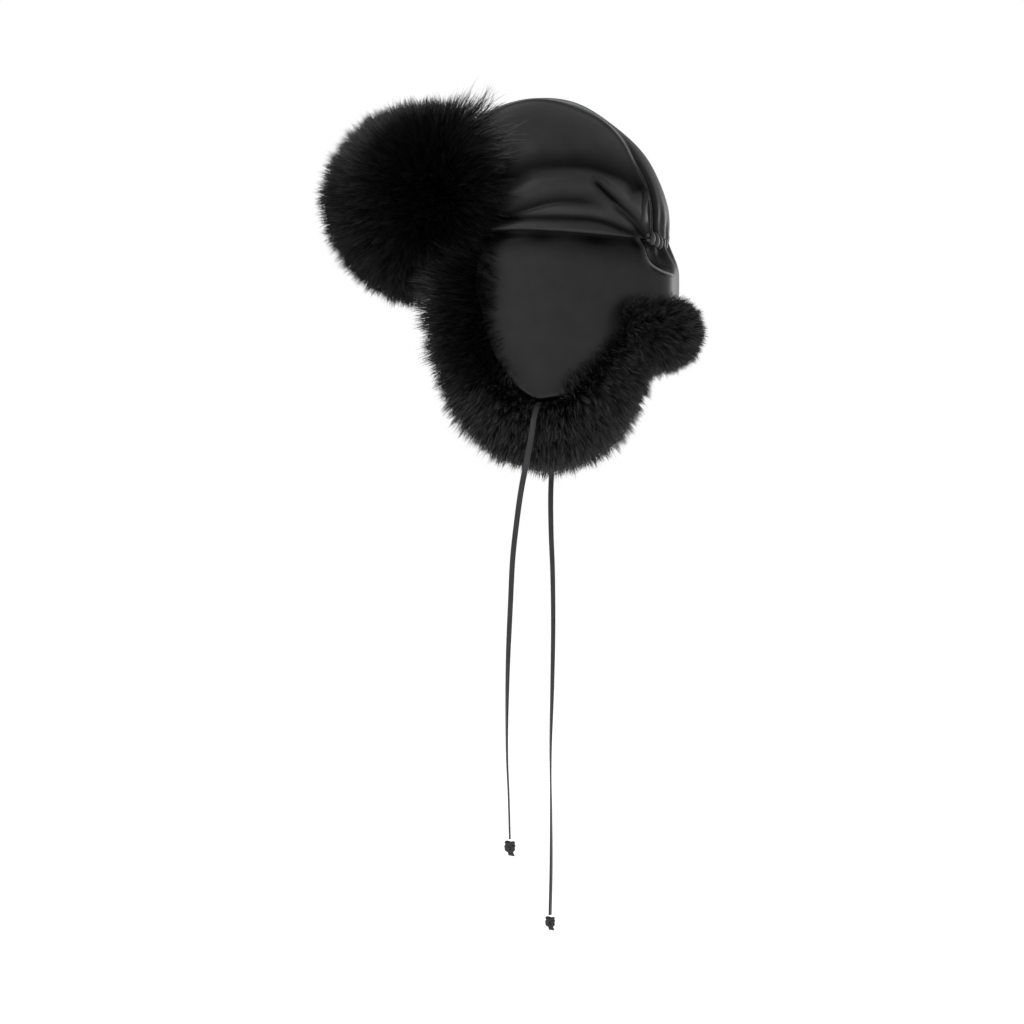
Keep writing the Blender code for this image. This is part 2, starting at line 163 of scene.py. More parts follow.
@dataclass(frozen=True)
class SmoothLeather:
    """Black polyurethane-coated leather: a soft satin skin with a fine pressed grain.

    The coat gives broad soft highlights. Shade is painted darker into its creases, where the coat is also
    matt, and a highlight is painted paler onto edges rolled over a seam. An attribute carries that painted
    shading, from 0 in a crease, through 0.5 on open leather, to 1 on a rolled edge.
    """

    name: str = "coated_leather_black"
    # colour of the shade painted into creases
    crease: str = "#040404"
    open: str = "#232324"
    # colour of the highlight painted onto edges rolled over a seam
    edge: str = "#8c8d8f"
    roughness: tuple[float, float] = (0.36, 0.46)
    specular: tuple[float, float] = (0.04, 0.30)
    grain_mm: float = 0.9
    grain_depth_mm: float = 0.05
    mottle_mm: float = 16.0

    def material(self) -> bpy.types.Material:
        """Returns the leather's material: painted shade and highlight and mottling in the colour, grain cells
        in the bump.
        """
        recipe = Recipe(self.name)
        place = recipe.add("ShaderNodeTexCoord").outputs["Object"]
        # painted shading: 0 where shade is painted, 0.5 on open leather, 1 where a highlight is painted
        painted_shading = recipe.add("ShaderNodeAttribute", {"attribute_name": "painted_shading"}).outputs["Fac"]
        mottle = recipe.add(
            "ShaderNodeTexNoise", {"Scale": 1 / (self.mottle_mm * MM), "Detail": 3.0}, {"Vector": place}
        ).outputs["Fac"]
        grain = recipe.add(
            "ShaderNodeTexVoronoi", {"Scale": 1 / (self.grain_mm * MM)}, {"Vector": place}
        ).outputs["Distance"]
        pores = recipe.add(
            "ShaderNodeTexNoise", {"Scale": 1.7 / (self.grain_mm * MM), "Detail": 2.0}, {"Vector": place}
        ).outputs["Fac"]
        shade = recipe.ramp(painted_shading, ((0.0, self.crease), (0.5, self.open), (1.0, self.edge)))
        dapple = recipe.ramp(mottle, ((0.30, "#d9d9d9"), (0.72, "#ffffff")))
        multiply = {"data_type": "RGBA", "blend_type": "MULTIPLY", 0: 1.0}
        mixed = recipe.add("ShaderNodeMix", multiply, {6: shade, 7: dapple})
        recipe.feed("Base Color", mixed.outputs[2])
        recipe.feed("Roughness", recipe.span(mottle, *self.roughness))
        double = {"operation": "MULTIPLY", "use_clamp": True, 1: 2.0}
        # the specular level falls where shade is painted, so the painted creases are matt as well
        specular_from_painted_shading = recipe.add("ShaderNodeMath", double, {0: painted_shading}).outputs[0]
        recipe.feed("Specular IOR Level", recipe.span(specular_from_painted_shading, *self.specular))
        fine = recipe.add("ShaderNodeMath", {"operation": "MULTIPLY", 1: 0.4}, {0: pores}).outputs[0]
        height = recipe.add("ShaderNodeMath", {"operation": "ADD"}, {0: grain, 1: fine}).outputs[0]
        bump = recipe.add(
            "ShaderNodeBump", {"Strength": 0.16, "Distance": self.grain_depth_mm * MM}, {"Height": height}
        )
        recipe.feed("Normal", bump.outputs["Normal"])
        return recipe.material


@dataclass(frozen=True)
class LongPileFur:
    """Black faux fur: modacrylic guard hairs, darker at the root and paler at the tip.

    A strand's colour runs from its root to its tip along the piece's own attribute: the pale tip is partly
    the fibre's own colour, and the dark root is partly painted shade deep in the pile. Every strand has its
    own random tone, times the painted shade of its bed, so that the pile reads as hair and not as felt.
    """

    name: str = "faux_fur_black"
    # the dark root colour is partly painted shade deep in the pile
    root: str = "#040404"
    middle: str = "#101010"
    tip: str = "#505051"
    roughness: float = 0.6
    specular: float = 0.2

    def material(self) -> bpy.types.Material:
        """Returns the hair's material, its colour driven by the share along each strand and by each strand's
        tone with its painted shade.
        """
        recipe = Recipe(self.name)
        along = recipe.add("ShaderNodeAttribute", {"attribute_name": "tip"}).outputs["Fac"]
        tone_and_painted_shade = recipe.add("ShaderNodeAttribute", {"attribute_name": "tone_and_painted_shade"}).outputs["Fac"]
        # a lower tone, where shade is painted, holds the strand nearer its dark root colour
        mixed = recipe.add("ShaderNodeMath", {"operation": "MULTIPLY"}, {0: along, 1: tone_and_painted_shade}).outputs[0]
        recipe.feed(
            "Base Color", recipe.ramp(mixed, ((0.0, self.root), (0.45, self.middle), (1.0, self.tip)))
        )
        recipe.feed("Roughness", self.roughness)
        recipe.feed("Specular IOR Level", self.specular)
        return recipe.material


@dataclass(frozen=True)
class PileBacking:
    """The knitted backing and dense short underfur that the guard hairs stand in: matte and very dark."""

    name: str = "underfur_black"
    dark: str = "#010101"
    light: str = "#0a0a0a"
    tuft_mm: float = 3.0

    def material(self) -> bpy.types.Material:
        """Returns the underfur's material: small tufts as colour and bump, in Object coordinates."""
        recipe = Recipe(self.name)
        place = recipe.add("ShaderNodeTexCoord").outputs["Object"]
        tufts = recipe.add(
            "ShaderNodeTexNoise", {"Scale": 1 / (self.tuft_mm * MM), "Detail": 4.0}, {"Vector": place}
        ).outputs["Fac"]
        recipe.feed("Base Color", recipe.ramp(tufts, ((0.3, self.dark), (0.8, self.light))))
        recipe.feed("Roughness", 0.9)
        recipe.feed("Specular IOR Level", 0.1)
        bump = recipe.add("ShaderNodeBump", {"Strength": 0.8, "Distance": 0.0015}, {"Height": tufts})
        recipe.feed("Normal", bump.outputs["Normal"])
        return recipe.material


@dataclass(frozen=True)
class SatinLining:
    """Black polyester satin: floats run across the panel and give it a soft sheen along one way."""

    name: str = "satin_lining_black"
    dark: str = "#0b0b0d"
    light: str = "#17171b"
    # a real thread is 0.15 mm; it is drawn six times as coarse so that it still shows
    thread_mm: float = 0.9
    roughness: tuple[float, float] = (0.30, 0.42)

    def material(self) -> bpy.types.Material:
        """Returns the satin's material: thread bands along the piece's own UV map."""
        recipe = Recipe(self.name)
        place = recipe.add("ShaderNodeUVMap").outputs["UV"]
        turned = recipe.add("ShaderNodeMapping", {"Scale": (0.25, 1.0, 1.0)}, {"Vector": place}).outputs[0]
        threads = recipe.add(
            "ShaderNodeTexWave",
            {"Scale": 0.314 / (self.thread_mm * MM), "Distortion": 1.2, "bands_direction": "Y"},
            {"Vector": turned},
        ).outputs["Fac"]
        recipe.feed("Base Color", recipe.ramp(threads, ((0.2, self.dark), (0.9, self.light))))
        recipe.feed("Roughness", recipe.span(threads, *self.roughness))
        bump = recipe.add("ShaderNodeBump", {"Strength": 0.25, "Distance": 0.0001}, {"Height": threads})
        recipe.feed("Normal", bump.outputs["Normal"])
        return recipe.material


@dataclass(frozen=True)
class RibbedElastic:
    """Woven black elastic: rubber cores covered in polyester, in ribs that run round the head."""

    name: str = "ribbed_elastic_black"
    dark: str = "#0a0a0b"
    light: str = "#1d1d20"
    rib_mm: float = 1.1

    def material(self) -> bpy.types.Material:
        """Returns the elastic's material: level ribs as colour and bump, in Object coordinates."""
        recipe = Recipe(self.name)
        place = recipe.add("ShaderNodeTexCoord").outputs["Object"]
        ribs = recipe.add(
            "ShaderNodeTexWave",
            {"Scale": 0.314 / (self.rib_mm * MM), "Distortion": 0.3, "bands_direction": "Z"},
            {"Vector": place},
        ).outputs["Fac"]
        recipe.feed("Base Color", recipe.ramp(ribs, ((0.1, self.dark), (0.9, self.light))))
        recipe.feed("Roughness", 0.8)
        bump = recipe.add("ShaderNodeBump", {"Strength": 0.6, "Distance": 0.0003}, {"Height": ribs})
        recipe.feed("Normal", bump.outputs["Normal"])
        return recipe.material


@dataclass(frozen=True)
class Fleece:
    """Needled polyester wadding: a charcoal felted mat with loose fibres."""

    name: str = "polyester_wadding_charcoal"
    dark: str = "#1d1d1f"
    light: str = "#2e2e31"
    fibre_mm: float = 1.2

    def material(self) -> bpy.types.Material:
        """Returns the wadding's material: felted fibres as colour and bump, in Object coordinates."""
        recipe = Recipe(self.name)
        place = recipe.add("ShaderNodeTexCoord").outputs["Object"]
        fibres = recipe.add(
            "ShaderNodeTexNoise", {"Scale": 1 / (self.fibre_mm * MM), "Detail": 5.0}, {"Vector": place}
        ).outputs["Fac"]
        recipe.feed("Base Color", recipe.ramp(fibres, ((0.3, self.dark), (0.7, self.light))))
        recipe.feed("Roughness", 0.95)
        bump = recipe.add("ShaderNodeBump", {"Strength": 0.7, "Distance": 0.0008}, {"Height": fibres})
        recipe.feed("Normal", bump.outputs["Normal"])
        return recipe.material


@dataclass(frozen=True)
class StudioPaper:
    """A plain pale paper floor."""

    name: str = "studio_paper_white"
    dark: str = "#f4f4f4"
    light: str = "#fbfbfb"
    glow: float = 0.62

    def material(self) -> bpy.types.Material:
        """Returns the paper's material: barely mottled white, lit evenly from behind."""
        recipe = Recipe(self.name)
        place = recipe.add("ShaderNodeTexCoord").outputs["Object"]
        mottle = recipe.add("ShaderNodeTexNoise", {"Scale": 2.0}, {"Vector": place}).outputs["Fac"]
        shade = recipe.ramp(mottle, ((0.2, self.dark), (0.8, self.light)))
        recipe.feed("Base Color", shade)
        recipe.feed("Emission Color", shade)
        recipe.feed("Emission Strength", self.glow)
        recipe.feed("Roughness", 0.9)
        recipe.feed("Specular IOR Level", 0.1)
        return recipe.material


class Wardrobe:
    """Every finish of the hat, made once."""

    def __init__(self) -> None:
        """Makes the materials."""
        self.leather = SmoothLeather().material()
        self.lace = SmoothLeather(
            name="lace_leather_black",
            crease="#060606",
            open="#2e2f31",
            edge="#77787b",
            roughness=(0.4, 0.5),
            grain_mm=0.6,
        ).material()
        self.sweatband = SmoothLeather(
            name="sweatband_leather_black",
            open="#1a1817",
            edge="#3a3836",
            roughness=(0.5, 0.62),
            grain_mm=1.2,
        ).material()
        self.fur = LongPileFur().material()
        self.backing = PileBacking().material()
        self.satin = SatinLining().material()
        self.elastic = RibbedElastic().material()
        self.fleece = Fleece().material()
        self.paper = StudioPaper().material()


# ---------------------------------------------------------------------------------------------
# Surfaces
# ---------------------------------------------------------------------------------------------


def ease(value: Array, low: float, high: float) -> Array:
    """Rises smoothly from 0 at low to 1 at high: 3t^2 - 2t^3 of the clipped share t."""
    t = np.clip((value - low) / (high - low), 0.0, 1.0)
    return t * t * (3 - 2 * t)


def turn_between(low: Array, high: Array, share: Array) -> Array:
    """Directions turned evenly from low to high: (sin((1-t) a) low + sin(t a) high) / sin a.

    Args:
        low: Unit vectors to start from, one to a row.
        high: Unit vectors to end at.
        share: The shares t of the angle a between them.

    Returns:
        Unit vectors, with a row for each pair and a column for each share.
    """
    angle = np.arccos((low * high).sum(1).clip(-1, 1))[:, None, None].clip(1e-4)
    t = share[None, :, None]
    return (np.sin((1 - t) * angle) * low[:, None] + np.sin(t * angle) * high[:, None]) / np.sin(angle)


def hump(value: Array, centre: float, width: float) -> Array:
    """A bell of height 1 round centre: exp(-((value - centre) / width)^2)."""
    return np.exp(-(((value - centre) / width) ** 2))


def unit(vectors: Array) -> Array:
    """Vectors of length 1, with zero vectors left at zero."""
    length = np.linalg.norm(vectors, axis=-1, keepdims=True)
    return vectors / np.maximum(length, 1e-12)


def waves(points: Array, size: float, seed: int, count: int = 7) -> Array:
    """Gentle unevenness from -1 to 1: the mean of sines with random directions and wavelengths near size.

    Args:
        points: Positions, the last axis being x, y, z.
        size: Typical wavelength in metres.
        seed: Seed of the random directions.
        count: How many sines are added.

    Returns:
        One value for each position.
    """
    rng = np.random.default_rng(seed)
    directions = unit(rng.normal(size=(count, 3)))
    wave_numbers = 2 * math.pi / (size * rng.uniform(0.7, 1.5, count))
    phases = rng.uniform(0, 2 * math.pi, count)
    total = np.sin(points @ (directions * wave_numbers[:, None]).T + phases).sum(-1)
    return total / math.sqrt(count) * 0.75


def smooth_line(route: Sequence[Sequence[float]], samples: int) -> Array:
    """Points evenly spaced along a Catmull-Rom curve through the route.

    Args:
        route: The points that the curve passes through, each with any number of values.
        samples: How many points come back.

    Returns:
        An array of samples rows.
    """
    p = np.asarray(route, float)
    p = np.vstack([2 * p[0] - p[1], p, 2 * p[-1] - p[-2]])
    t = np.linspace(0, len(p) - 3, 40 * (len(p) - 3) + 1)
    i = np.minimum(t.astype(int), len(p) - 4)
    f = (t - i)[:, None]
    a, b, c, d = p[i], p[i + 1], p[i + 2], p[i + 3]
    dense = 0.5 * (2 * b + (c - a) * f + (2 * a - 5 * b + 4 * c - d) * f**2 + (3 * b - a - 3 * c + d) * f**3)
    run = np.concatenate([[0], np.cumsum(np.linalg.norm(np.diff(dense, axis=0), axis=1))])
    at = np.linspace(0, run[-1], samples)
    return np.stack([np.interp(at, run, dense[:, k]) for k in range(dense.shape[1])], 1)


def along_route(points: Array, route: Sequence[Sequence[float]], samples: int = 48) -> tuple[Array, Array]:
    """Measures points in a plane against a smooth route.

    Args:
        points: Positions in the plane, the last axis being two values.
        route: Points of the route in the same plane.
        samples: How finely the route is cut.

    Returns:
        The signed distance, positive to the left of the route's direction, and the share of the route
        at the nearest place.
    """
    line = smooth_line(route, samples)
    flat = points.reshape(-1, 2)
    start, step = line[:-1], np.diff(line, axis=0)
    offset = flat[:, None, :] - start[None]
    share = np.clip((offset * step).sum(-1) / (step * step).sum(-1), 0, 1)
    gap = offset - share[..., None] * step
    distance = np.linalg.norm(gap, axis=-1)
    nearest = distance.argmin(1)
    rows = np.arange(len(flat))
    cross = step[nearest, 0] * offset[rows, nearest, 1] - step[nearest, 1] * offset[rows, nearest, 0]
    signed = distance[rows, nearest] * np.where(cross >= 0, 1.0, -1.0)
    fraction = (nearest + share[rows, nearest]) / (len(line) - 1)
    return signed.reshape(points.shape[:-1]), fraction.reshape(points.shape[:-1])


@dataclass
class Fold:
    """A crease in leather that runs along a route in the side view, with a roll on one side of it.

    Its height over the panel is -depth exp(-(d/width)^2) + roll exp(-((d - roll_at)/roll_width)^2),
    where d is the signed distance to the route, and it fades out at the ends. Shade is painted into it as a
    bell too, shade exp(-((d - shade_at)/w)^2), with w one width above its middle and another below, and a
    highlight is painted on the roll as a narrower bell.
    """

    route: Sequence[tuple[float, float]]
    depth: float
    width: float
    roll: float = 0.0
    roll_at: float = 0.006
    roll_width: float = 0.006
    fade: tuple[float, float] = (0.15, 0.15)
    # strength of the shade painted into the crease
    shade: float = 0.0
    shade_at: float = 0.0
    shade_widths: tuple[float, float] = (0.004, 0.004)
    # strength of the highlight painted along the roll
    painted_highlight: float = 0.0

    def measure(self, plane_points: Array) -> tuple[Array, Array]:
        """Returns the signed distance to the fold and its strength, which fades at the ends."""
        distance, share = along_route(plane_points, self.route)
        return distance, ease(share, 0.0, self.fade[0]) * (1 - ease(share, 1 - self.fade[1], 1.0))

    def lie(self, plane_points: Array) -> tuple[Array, Array]:
        """Returns the fold's height and its painted shading, below 0 where shade is painted in the crease and
        above 0 where a highlight is painted on the roll, at points of the side view.
        """
        distance, ends = self.measure(plane_points)
        valley = -self.depth * hump(distance, 0.0, self.width)
        crest = self.roll * hump(distance, self.roll_at, self.roll_width)
        offset = distance - self.shade_at
        width = np.where(offset > 0, self.shade_widths[0], self.shade_widths[1])
        dark = -self.shade * np.exp(-((offset / width) ** 2))
        light = self.painted_highlight * hump(distance, self.roll_at, self.roll_width * 0.8)
        return (valley + crest) * ends, (dark + light) * ends


@dataclass
class Sheet:
    """A surface given as a grid of points, with its rows or columns closed into a ring if wanted."""

    points: Array
    ring_rows: bool = False
    ring_cols: bool = False
    # painted shade and highlight of leather: below 0 where shade is painted, above 0 where a highlight is
    painted_shading: Optional[Array] = None

    def normals(self) -> Array:
        """Unit normals of the grid: the cross product of the differences along rows and columns."""
        p = self.points
        if self.ring_rows:
            down = np.roll(p, -1, 0) - np.roll(p, 1, 0)
        else:
            down = np.gradient(p, axis=0)
        if self.ring_cols:
            across = np.roll(p, -1, 1) - np.roll(p, 1, 1)
        else:
            across = np.gradient(p, axis=1)
        return unit(np.cross(down, across))

    def raised(self, height: Array, normals: Optional[Array] = None) -> "Sheet":
        """The same grid moved along its normals by a height at each point."""
        along = self.normals() if normals is None else normals
        return Sheet(self.points + along * height[..., None], self.ring_rows, self.ring_cols, self.painted_shading)

    def quads(self) -> Array:
        """Vertex numbers of the grid's faces, four to a row."""
        rows, cols = self.points.shape[:2]
        i = np.arange(rows if self.ring_rows else rows - 1)
        j = np.arange(cols if self.ring_cols else cols - 1)
        i, j = np.meshgrid(i, j, indexing="ij")
        i2, j2 = (i + 1) % rows, (j + 1) % cols
        corners = np.stack([i * cols + j, i2 * cols + j, i2 * cols + j2, i * cols + j2], -1)
        return corners.reshape(-1, 4)

    def piece(self, name: str, material: bpy.types.Material, wall: float = 0.0) -> bpy.types.Object:
        """Makes the grid a smooth-shaded object, with a wall that grows inwards if one is given.

        Args:
            name: The piece's name.
            material: Its finish.
            wall: Thickness of the wall in metres, or 0 for none.

        Returns:
            The object, at the origin.
        """
        rows, cols = self.points.shape[:2]
        mesh = mesh_of(name, self.points.reshape(-1, 3), self.quads())
        lengths = np.linalg.norm(np.diff(self.points, axis=0), axis=-1).mean(1)
        widths = np.linalg.norm(np.diff(self.points, axis=1), axis=-1).mean(0)
        down = np.concatenate([[0], np.cumsum(lengths)])
        across = np.concatenate([[0], np.cumsum(widths)])
        uv = np.stack(np.broadcast_arrays(down[:, None], across[None, :]), -1)
        layer = mesh.uv_layers.new(name="surface")
        corner_uv = uv.reshape(-1, 2)[self.quads().ravel()]
        layer.data.foreach_set("uv", corner_uv.astype(np.float32).ravel())
        # the painted shade and highlight go into the attribute around 0.5 for open leather
        painted_shading = np.zeros((rows, cols)) if self.painted_shading is None else self.painted_shading
        marks = mesh.attributes.new("painted_shading", "FLOAT", "POINT")
        marks.data.foreach_set("value", (0.5 + painted_shading).clip(0, 1).astype(np.float32).ravel())
        obj = piece_of(mesh, name, material)
        if wall:
            add_wall(obj, wall)
        return obj


def mesh_of(name: str, vertices: Array, faces: Array, last: Optional[Array] = None) -> bpy.types.Mesh:
    """Puts vertices and faces into a mesh with foreach_set.

    Args:
        name: The mesh's name.
        vertices: One position a row.
        faces: Vertex numbers of faces that all have as many corners as the array has columns.
        last: More faces, of another number of corners.

    Returns:
        The smooth-shaded mesh.
    """
    mesh = bpy.data.meshes.new(name)
    groups = [faces] if last is None else [faces, last]
    corners = np.concatenate([g.ravel() for g in groups]).astype(np.int32)
    sizes = np.concatenate([np.full(len(g), g.shape[1]) for g in groups])
    starts = np.concatenate([[0], np.cumsum(sizes)[:-1]]).astype(np.int32)
    mesh.vertices.add(len(vertices))
    mesh.vertices.foreach_set("co", vertices.astype(np.float32).ravel())
    mesh.loops.add(len(corners))
    mesh.loops.foreach_set("vertex_index", corners)
    mesh.polygons.add(len(sizes))
    mesh.polygons.foreach_set("loop_start", starts)
    mesh.update(calc_edges=True)
    mesh.shade_smooth()
    return mesh


def piece_of(mesh: bpy.types.Mesh, name: str, material: bpy.types.Material) -> bpy.types.Object:
    """Links a mesh into the scene as a piece with its finish."""
    mesh.materials.append(material)
    obj = bpy.data.objects.new(name, mesh)
    bpy.context.scene.collection.objects.link(obj)
    return obj


def add_wall(obj: bpy.types.Object, thickness: float) -> None:
    """Gives an open sheet a wall that grows inwards from it."""
    wall = obj.modifiers.new("wall", "SOLIDIFY")
    wall.thickness = thickness
    wall.offset = -1.0


def sweep(path: Array, radii: Array, across: Array, turns: int = 24) -> Sheet:
    """A round tube of varying radius along a path, with both ends drawn in to a point.

    A point is path(s) + r(s) (cos v n + sin v b), with n and b the path's normals, b from across x tangent.

    Args:
        path: Points along the middle.
        radii: Radius at each point.
        across: A direction that is nowhere along the path.
        turns: How many points go round.

    Returns:
        The tube, rows along the path and columns round it.
    """
    tangent = unit(np.gradient(path, axis=0))
    second = unit(np.cross(np.broadcast_to(across, tangent.shape), tangent))
    first = np.cross(tangent, second)
    v = np.linspace(0, 2 * math.pi, turns, endpoint=False)
    ring = first[:, None] * np.cos(v)[None, :, None] + second[:, None] * np.sin(v)[None, :, None]
    return Sheet(path[:, None] + ring * radii[:, None, None], ring_cols=True)


# ---------------------------------------------------------------------------------------------
# Fur
# ---------------------------------------------------------------------------------------------


FEWEST_LOCKS = 8


@dataclass
class Pile:
    """Long guard hairs that stand off a surface and gather into locks.

    A strand is root + L (t d + t^2 (droop + comb) / 2) for t from 0 to 1, with d between the surface's
    normal and the comb. Towards its tip it is drawn to the middle strand of its lock. It is a ribbon
    that narrows to a point.
    """

    length: float = 0.036
    length_spread: float = 0.20
    width: float = 0.00065
    comb: float = 0.4
    splay: float = 0.22
    droop: float = 0.10
    strands_per_lock: float = 11.0
    lock_pull: float = 0.66
    stations: tuple[float, ...] = (0.0, 0.32, 0.62, 0.86, 1.0)
    taper: tuple[float, ...] = (1.0, 0.95, 0.75, 0.45)

    def grow(self, roots: Array, normals: Array, combed: Array, scale: Array, seed: int) -> tuple[Array, ...]:
        """Works out the strands.

        Args:
            roots: Where each strand stands.
            normals: The surface's normal there.
            combed: The way the pile is combed there, of length 1 or less.
            scale: Each strand's length as a share of the pile's.
            seed: Seed of the random part.

        Returns:
            Vertices, quads, triangles, and for each vertex its share of the strand and its tone.
        """
        rng = np.random.default_rng(seed)
        count = len(roots)
        t = np.array(self.stations)[None, :, None]
        length = self.length * scale * (1 + self.length_spread * rng.normal(size=count).clip(-2, 1.3))
        strength = np.linalg.norm(combed, axis=-1, keepdims=True) * self.comb
        astray = rng.normal(size=(count, 3)) * self.splay * 0.6
        aim = unit(normals * (1 - strength) + combed * self.comb + astray)
        bend = combed * self.comb * 0.5 + np.array([0, 0, -self.droop])
        line = roots[:, None] + length[:, None, None] * (aim[:, None] * t + 0.5 * t * t * bend[:, None])

        leaders = rng.permutation(count)[: max(FEWEST_LOCKS, int(count / self.strands_per_lock))]
        lock = nearest_of(roots, roots[leaders])
        lead = line[leaders][lock]
        pull = (self.lock_pull * rng.uniform(0.5, 1.3, len(leaders))[lock]).clip(0, 0.9)
        line = line + (lead - line) * pull[:, None, None] * t**1.6
        curl = unit(np.cross(aim, rng.normal(size=(count, 3))))
        phase = rng.uniform(0, 2 * math.pi, count)[:, None]
        swing = np.sin(phase + t[..., 0] * 5.0) * t[..., 0] * length[:, None] * 0.035
        line = line + curl[:, None] * swing[..., None]

        tangent = unit(np.gradient(line, axis=1))
        flat = unit(np.cross(tangent, unit(normals + rng.normal(size=(count, 3)))[:, None]))
        half = 0.5 * self.width * rng.uniform(0.7, 1.25, count)[:, None] * np.array(self.taper)[None]
        rings = len(self.taper)
        sides = flat[:, :rings] * half[..., None]
        pairs = np.stack([line[:, :rings] - sides, line[:, :rings] + sides], 2).reshape(count, 2 * rings, 3)
        vertices = np.concatenate([pairs, line[:, rings:]], 1)
        per = 2 * rings + 1
        first = np.arange(count)[:, None] * per
        corners = np.array([[0, 1, 3, 2]])
        quads = np.concatenate([first + corners + 2 * k for k in range(rings - 1)])
        points = first + np.array([[per - 3, per - 2, per - 1]])
        share = np.concatenate([np.repeat(np.array(self.stations[:rings]), 2), [1.0]])
        tone_and_painted_shade = np.repeat(rng.uniform(0.45, 1.15, count), per)
        return vertices.reshape(-1, 3), quads, points, np.tile(share, count), tone_and_painted_shade

    def piece(
        self,
        name: str,
        bed: "FurBed",
        count: int,
        seed: int,
        material: bpy.types.Material,
    ) -> bpy.types.Object:
        """Grows strands on a bed and makes them one piece.

        Args:
            name: The piece's name.
            bed: Where they stand and how they are combed.
            count: How many strands.
            seed: Seed of the random part.
            material: The hair's finish.

        Returns:
            The object, with each vertex's share along its strand and its strand's tone, times the painted shade
            of its bed, as attributes.
        """
        roots, normals, combed, scale, shade = bed.scatter(count, seed)
        vertices, quads, points, share, tone_and_painted_shade = self.grow(roots, normals, combed, scale, seed + 1)
        # each strand's random tone is multiplied by the painted shade of its bed
        tone_and_painted_shade = tone_and_painted_shade * np.repeat(shade, len(tone_and_painted_shade) // count)
        mesh = mesh_of(name, vertices, quads, points)
        for title, values in (("tip", share), ("tone_and_painted_shade", tone_and_painted_shade)):
            layer = mesh.attributes.new(title, "FLOAT", "POINT")
            layer.data.foreach_set("value", values.astype(np.float32))
        return piece_of(mesh, name, material)


def pressed_pile() -> Pile:
    """The short pile inside the flaps, which the head presses down."""
    return Pile(length=0.014, comb=0.55, droop=0.2, splay=0.3, width=0.0009)


def nearest_of(points: Array, centres: Array, block: int = 4000) -> Array:
    """The number of the nearest centre to each point, by squared distance, a block of points at a time."""
    squared = (centres**2).sum(1)
    found = [
        (squared[None] - 2 * points[i : i + block] @ centres.T).argmin(1) for i in range(0, len(points), block)
    ]
    return np.concatenate(found)


@dataclass
class FurBed:
    """The surface that strands stand on, with its comb, length, density and painted shade at each grid point.
    """

    sheet: Sheet
    combed: Array
    scale: Array
    density: Array
    normals: Optional[Array] = None
    # painted shade of the strands, 1 where none is painted
    tone_and_painted_shade: Optional[Array] = None

    def scatter(self, count: int, seed: int) -> tuple[Array, ...]:
        """Spreads places evenly by area times density over the grid.

        Args:
            count: How many places.
            seed: Seed of the random part.

        Returns:
            Positions, normals, comb directions, length shares and painted shades.
        """
        rng = np.random.default_rng(seed)
        normals = self.sheet.normals() if self.normals is None else self.normals
        tone_and_painted_shade = np.ones(self.scale.shape) if self.tone_and_painted_shade is None else self.tone_and_painted_shade
        alone = np.stack([self.scale, tone_and_painted_shade, self.density], -1)
        stack = np.concatenate([self.sheet.points, normals, self.combed, alone], -1)
        if self.sheet.ring_cols:
            stack = np.concatenate([stack, stack[:, :1]], 1)
        if self.sheet.ring_rows:
            stack = np.concatenate([stack, stack[:1]], 0)
        a, b, c, d = stack[:-1, :-1], stack[1:, :-1], stack[:-1, 1:], stack[1:, 1:]
        along = (b - a)[..., :3] + (d - c)[..., :3]
        over = (c - a)[..., :3] + (d - b)[..., :3]
        area = np.linalg.norm(np.cross(along, over), axis=-1)
        chance = area * (a + b + c + d)[..., -1].clip(0)
        cell = rng.choice(chance.size, size=count, p=(chance / chance.sum()).ravel())
        f, g = rng.random((2, count, 1))
        flat = [m.reshape(-1, stack.shape[-1])[cell] for m in (a, b, c, d)]
        value = flat[0] * (1 - f) * (1 - g) + flat[1] * f * (1 - g) + flat[2] * (1 - f) * g + flat[3] * f * g
        return value[:, :3], unit(value[:, 3:6]), value[:, 6:9], value[:, 9], value[:, 10]


# ---------------------------------------------------------------------------------------------
# The hat's form
# ---------------------------------------------------------------------------------------------


